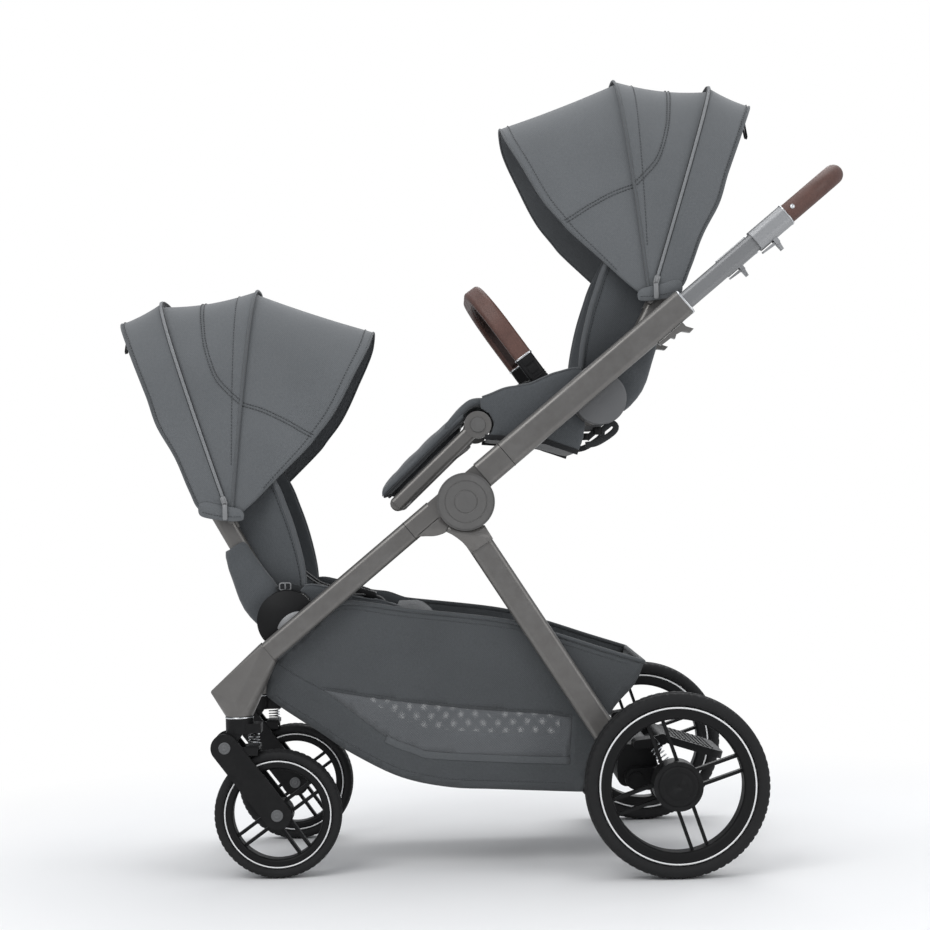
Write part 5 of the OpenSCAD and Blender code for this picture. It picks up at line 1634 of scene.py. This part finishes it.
def makeBumper():
    look = bumperLook
    a = math.radians(look["lean"])
    along, up = Vector((-math.cos(a), 0, math.sin(a))), Vector((math.sin(a), 0, math.cos(a)))
    collars, ends = [], []
    for out in (-1, 1):
        y = out * look["y"]
        collars.append(
            hoopAround(
                onBumper(look["end"], y), acrossDir, up, look["t"] + 1.4, look["w"] + 1.4, 7,
                tapeSection(3.2, 1.4)
            )
        )
        for k in range(4):
            ends.append(
                hoopAround(
                    onBumper(6 + 4.5 * k, y), acrossDir, up, look["t"] + 0.4, look["w"] + 0.4, 6,
                    roundSection(0.8, 6)
                )
            )
        face = y + out * (look["t"] / 2 + 0.6)
        ends.append(block(onBumper(31, face), (along, up, acrossDir), (13, 15, 2.4), 2.5, 0.7))
        ends.append(block(onBumper(46.5, face, 1), (along, up, acrossDir), (12, 20, 2.0), 2.5, 0.6))
    addPiece("bumperCollars", *joinParts(collars), "brightSteel", "bumper_bar", "steel")
    addPiece("bumperKeys", *joinParts(ends), "blackPlastic", "bumper_bar", "black_plastic")
    inner, turn = look["y"] - (look["t"] + 1) / 2, look["bend"] - (look["t"] + 1) / 2
    centreY, straight = look["y"] - look["bend"], look["length"] - look["bend"]
    path, normals = [], []
    for s in np.linspace(look["end"] + 4, straight, 8, endpoint=False):
        path.append((s, -inner))
        normals.append((0, 1))
    for k in range(19):
        b = math.pi / 2 * k / 18
        path.append((straight + turn * math.sin(b), -centreY - turn * math.cos(b)))
        normals.append((-math.sin(b), math.cos(b)))
    for y in np.linspace(-centreY, 0, 9)[1:]:
        path.append((straight + turn, y))
        normals.append((-1, 0))
    path += [(s, -y) for s, y in path[-2::-1]]
    normals += [(n, -m) for n, m in normals[-2::-1]]
    facing = [along * n + acrossDir * m for n, m in normals]
    line = [onBumper(s, y) for s, y in path]
    addPiece(
        "bumperStrip", *ribbon([p + n * 0.3 for p, n in zip(line, facing)], facing, tapeSection(15, 1.4)),
        "gripDark", "bumper_bar", "leather"
    )
    rows = [
        stitches([onBumper(s, y, h) + n * 1.2 for (s, y), n in zip(path, facing)], 3.4, 2.4, 0.5)
        for h in (-5, 5)
    ]
    addPiece("bumperStitch", *joinParts(rows), "threadLeather", "bumper_bar", "leather")


makeBumper()

# seat trims: tub piping and hem, belt with its buckle, side strap, webbing loop under the hub
seatTrims = dict(
    tubLow=[(186, -57), (98, -66), (73, -73), (37, -86)],
    tubY=148.4, strapY=36, strapTop=405, strapLow=80, padFront=39.0, buckle=(116, 27),
    loop=[
        (24, -74), (8, -72), (-8, -64), (-22, -54), (-26, -46), (-20, -40), (-10, -46), (2, -56)
    ], loopY=139,
)


def makeSeatTrims():
    look = seatTrims
    piping, hems = [], []
    for out in (-1, 1):
        tub = softVerts["SeatTub"]
        line = []
        for u in range(28, 197, 7):
            near = tub[(abs(tub[:, 0] - u) < 4) & (tub[:, 1] * out > 138)]
            if not len(near):
                continue
            rim = near[near[:, 2] > near[:, 2].max() - 3]
            line.append(Vector((u, out * (abs(rim[:, 1]).max() - 0.9), rim[:, 2].max() - 0.9)))
        line = [line[0]] + [(a + b * 2 + c) / 4 for a, b, c in zip(line, line[1:], line[2:])] + [line[-1]]
        piping.append(sweep(smoothPath(line, 5), roundSection(1.7, 8)))
        low = smoothPath([Vector((u, out * (look["tubY"] + 2.4), w)) for u, w in look["tubLow"]], 6)
        hems.append(ribbon(low, [acrossDir * out] * len(low), tapeSection(8.5, 1.8)))
    seatPiece("TubPiping", *joinParts(piping), "seatBinding", "seat", "seat_fabric")
    seatPiece("TubHem", *joinParts(hems), "strapWeb", "seat", "seat_fabric")
    # shoulder straps over the back cushion, then down to the buckle
    u0, w0 = look["buckle"]
    shoulder, laps = [], []
    for out in (-1, 1):
        high = [
            onBack(t, look["padFront"] - 0.9 * (t > 380), out * look["strapY"])
            for t in (look["strapTop"], 330, 250, 170, look["strapLow"])
        ]
        line = smoothPath(
            high + [
                Vector((36, out * 33, 50)), Vector((66, out * 26, 38)), Vector((u0 - 16, out * 15, w0 + 4))
            ],
            8
        )
        normals = []
        for i, p in enumerate(line):
            t = (line[min(i + 1, len(line) - 1)] - line[max(i - 1, 0)]).normalized()
            normals.append(t.cross(acrossDir) * (1 if t.cross(acrossDir).x > 0 else -1))
        shoulder.append(ribbon(line, normals, tapeSection(25, 1.8)))
        pad = line[: int(len(line) * 0.42)]
        shoulder.append(ribbon([p + n * 2.6 for p, n in zip(pad, normals)], normals, tapeSection(44, 5.5)))
        lap = smoothPath(
            [
                Vector((24, out * 100, 34)), Vector((44, out * 84, 32)), Vector((80, out * 50, 29)),
                Vector((u0 - 4, out * 20, w0))
            ],
            8
        )
        laps.append(ribbon(lap, [Vector((0.2, 0, 1))] * len(lap), tapeSection(25, 1.8)))
    seatPiece("ShoulderStraps", *joinParts(shoulder), "strapWeb", "back", "seat_fabric")
    crotch = smoothPath(
        [Vector((u0 + 38, 0, w0 - 22)), Vector((u0 + 30, 0, w0 - 10)), Vector((u0 + 12, 0, w0 - 3))], 5
    )
    laps.append(ribbon(crotch, [Vector((1, 0, 0.5))] * len(crotch), tapeSection(34, 4)))
    seatPiece("LapStraps", *joinParts(laps), "strapWeb", "seat", "seat_fabric")
    tilt = ((0.94, 0, -0.34), (0, 1, 0), (0.34, 0, 0.94))
    at = Vector((u0, 0, w0 + 2))
    parts = [
        block(at, tilt, (44, 50, 13), 9, 3), block(at + Vector((2.4, 0, 6.6)), tilt, (20, 20, 2.6), 8, 1)
    ]
    seatPiece("Buckle", *joinParts(parts), "blackPlastic", "seat", "black_plastic")
    # side strap with its ladder lock above the hub plate
    straps, locks, plugs = [], [], []
    for out in (-1, 1):
        y = out * 147.2
        line = smoothPath(
            [Vector((-17, y, 43)), Vector((-3, y, 48)), Vector((12, y, 46)), Vector((24, y, 40))], 4
        )
        straps.append(ribbon(line, [acrossDir * out] * len(line), tapeSection(9, 1.0)))
        locks.append(
            hoopAround(
                Vector((-3, y + out * 0.9, 47.5)), Vector((1, 0, 0)), Vector((0, 0, 1)), 18, 11, 3,
                roundSection(1.2, 8)
            )
        )
        locks.append(
            block(
                Vector((-3, y + out * 0.9, 47.5)), ((1, 0, 0), (0, 0, 1), (0, 1, 0)), (2.2, 10, 1.8), 0.8,
                0.4
            )
        )
        loop = smoothPath([Vector((u, out * look["loopY"], w)) for u, w in look["loop"]], 3)
        straps.append(ribbon(loop, [acrossDir * out] * len(loop), tapeSection(10, 5)))
        plugs.append(
            block(
                Vector((4, out * look["loopY"], -52)), ((1, 0, 0), (0, 1, 0), (0, 0, 1)), (14, 13, 12), 5,
                1.2
            )
        )
    seatPiece("SideStraps", *joinParts(straps), "seatTrim", "seat", "seat_fabric")
    seatPiece("SideLocks", *joinParts(locks), "lightPlastic", "seat", "grey_plastic")
    seatPiece("SidePlugs", *joinParts(plugs), "blackPlastic", "seat", "black_plastic")


makeSeatTrims()


# leg rest: a bound edge round the cushion, a near-black block in the gap under it, rounded tube ends and the
# catch
def makeLegrestTrim():
    look = legrestLook
    (x0, x1), half = look["along"], look["half"]
    outline = roundRect(x1 - x0 - 3, half * 2, look["corner"], 6)
    mid = (x0 + x1) / 2
    path = []
    for x, y, _ in alongPath([Vector((p[0], p[1], 0)) for p in outline + outline[:1]], 7)[:-1]:
        draw = 4 * (1 - (y / half) ** 2) if abs(x) > 60 else 0
        path.append(onLegrest(mid + x - math.copysign(draw, x), y, look["seam"]))
    seatPiece(
        "LegrestBinding", *sweep(path, roundSection(look["binding"], 8), True), "seatTrim", "legrest",
        "seat_fabric"
    )
    down, face = onLegrest(1, 0, 0) - onLegrest(0, 0, 0), onLegrest(0, 0, 1) - onLegrest(0, 0, 0)
    # a near-black block fills the gap between the cushion and the tube
    x0, x1, z0, z1, half = look["underBlock"]
    underBlock = block(
        onLegrest((x0 + x1) / 2, 0, (z0 + z1) / 2), (down, acrossDir, face), (x1 - x0, half * 2, z1 - z0),
        10, 3
    )
    seatPiece("LegrestUnderBlock", *underBlock, "seatTrim", "legrest", "seat_fabric")
    ends = []
    for out in (-1, 1):
        y, wide = look["tube"]
        ends.append(
            block(
                onLegrest(look["end"][0], out * y, 0), (down, face, acrossDir),
                (look["end"][1], 24.4, wide + 0.4), 11.6, 2.5
            )
        )
        verts, faces = plate(look["catch"], out * (y - wide / 2 + 2), out * (y + wide / 2 - 2))
        ends.append(([onLegrest(v.x, v.y, v.z) for v in verts], faces))
    seatPiece("LegrestEnds", *joinParts(ends), "framePaint", "legrest", "frame")


bridgeLook = dict(
    path=[(170, 0), (186, 0), (202, -1), (213, -5.5), (223.4, -14.5), (234, -26.5), (247, -41.6)], half=142,
    thick=13
)


def makeBridge():  # cloth carried from the seat's front edge over to the leg rest's cushion
    path = smoothPath([Vector((u, 0, w)) for u, w in bridgeLook["path"]], 4)
    for s in ("upper", "lower"):
        hub, face = seats[s]["hub"], seats[s]["face"]
        rows = []
        for k, p in enumerate(path):
            for j in range(31):
                y = (j / 30 * 2 - 1) * bridgeLook["half"]
                dip = 1.5 * math.sin(j * 1.3 + k * 0.5) * math.sin(math.pi * k / (len(path) - 1))
                rows.append(Vector((hub.x + face * p.x, y, hub.z + p.z - dip)))
        faces = gridFaces(len(path), 31)
        piece = addPiece(f"{s}LegrestBridge", rows, faces, "seatCloth", None, "seat_fabric", closed=False)
        skin = piece.modifiers.new("cloth", "SOLIDIFY")
        skin.thickness, skin.offset = bridgeLook["thick"] / 1000, 0
        soft = piece.modifiers.new("soft", "SUBSURF")
        soft.levels = soft.render_levels = 1
        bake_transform(piece)


makeLegrestTrim()
makeBridge()

# seat docks: a grey disc on the upper tubes, a black cover and a pale edge at the lower seat's pivot
dockLook = dict(
    upper=dict(r=42.5, face=166.6, back=163.4),
    lower=dict(
        r=48, drop=6.3, cut=-18, face=166.6, back=163.4,
        edge=dict(at=(20.5, -29.4), r=38, turn=(162, 92), back=[(28, -3.5), (-6.6, -29.7)])
    ),
)


def makeDocks():
    look = dockLook["upper"]
    hub, r, face, back = seats["upper"]["hub"], look["r"], look["face"], look["back"]
    profile = [
        (0.01, face), (0.6, face), (r - 3, face), (r - 0.8, face - 0.6), (r, face - 1.6), (r, back),
        (0.01, back)
    ]
    discs = [lathe([(q, out * y) for q, y in profile], Vector((hub.x, 0, hub.z)), 72) for out in (-1, 1)]
    addPiece("upperDocks", *joinParts(discs), "greyPlastic", "upper_frame", "grey_plastic")
    look = dockLook["lower"]
    hub = seats["lower"]["hub"]
    ring = [
        Vector((look["r"] * math.cos(a), 0, look["r"] * math.sin(a) - look["drop"]))
        for a in np.linspace(-math.pi, math.pi, 144, False)
    ]
    above = [p.dot(slopeUp) > look["cut"] for p in ring]
    first = next(k for k in range(len(ring)) if above[k] and not above[k - 1])
    cover = [ring[(first + k) % len(ring)] for k in range(sum(above))]
    covers = [
        plate([(hub.x + p.x, hub.z + p.z) for p in cover], out * look["back"], out * look["face"])
        for out in (-1, 1)
    ]
    addPiece("lowerCovers", *joinParts(covers), "blackPlastic", "lower_seat", "black_plastic")
    edge = look["edge"]
    turn = [math.radians(a) for a in np.linspace(*edge["turn"], 15)]
    line = [
        (edge["at"][0] + edge["r"] * math.cos(a), edge["at"][1] + edge["r"] * math.sin(a)) for a in turn
    ] + edge["back"]
    rims = [
        plate([(hub.x + x, hub.z + z) for x, z in line[::-1]], out * 165.0, out * 167.4) for out in (-1, 1)
    ]
    addPiece("lowerDockEdges", *joinParts(rims), "lightPlastic", "front_frame", "grey_plastic")


makeDocks()
print("trims made")

# floor: pale near the stroller, fading into the white backdrop for the camera
floorLook = dict(size=14.0, color=(0.88, 0.88, 0.88), fadeFrom=0.75, fadeTo=1.35)


def makeFloor():
    mesh = bpy.data.meshes.new("studioFloor")
    h = floorLook["size"] / 2
    mesh.from_pydata([(-h, -h, 0), (h, -h, 0), (h, h, 0), (-h, h, 0)], [], [(0, 1, 2, 3)])
    floor = bpy.data.objects.new("studioFloor", mesh)
    bpy.context.collection.objects.link(floor)
    mat, tree, bsdf = startMaterial("floorPaint")
    node = place(tree, "grain", Color=floorLook["color"], Fineness=40.0, Mottle=0.01, Gloss=0.9)
    tree.links.new(node.outputs["Color"], bsdf.inputs["Base Color"])
    tree.links.new(node.outputs["Roughness"], bsdf.inputs["Roughness"])
    where = tree.nodes.new("ShaderNodeTexCoord")
    far = tree.nodes.new("ShaderNodeVectorMath")
    far.operation = "LENGTH"
    tree.links.new(where.outputs["Object"], far.inputs[0])
    fade = ramp(tree, far.outputs["Value"], floorLook["fadeFrom"], floorLook["fadeTo"])
    path = tree.nodes.new("ShaderNodeLightPath")
    white = tree.nodes.new("ShaderNodeEmission")
    white.inputs["Color"].default_value = (1, 1, 1, 1)
    mix = tree.nodes.new("ShaderNodeMixShader")
    tree.links.new(mathNode(tree, "MULTIPLY", fade, path.outputs["Is Camera Ray"]), mix.inputs[0])
    tree.links.new(bsdf.outputs[0], mix.inputs[1])
    tree.links.new(white.outputs[0], mix.inputs[2])
    tree.links.new(mix.outputs[0], tree.nodes["Material Output"].inputs["Surface"])
    mesh.materials.append(mat)


makeFloor()
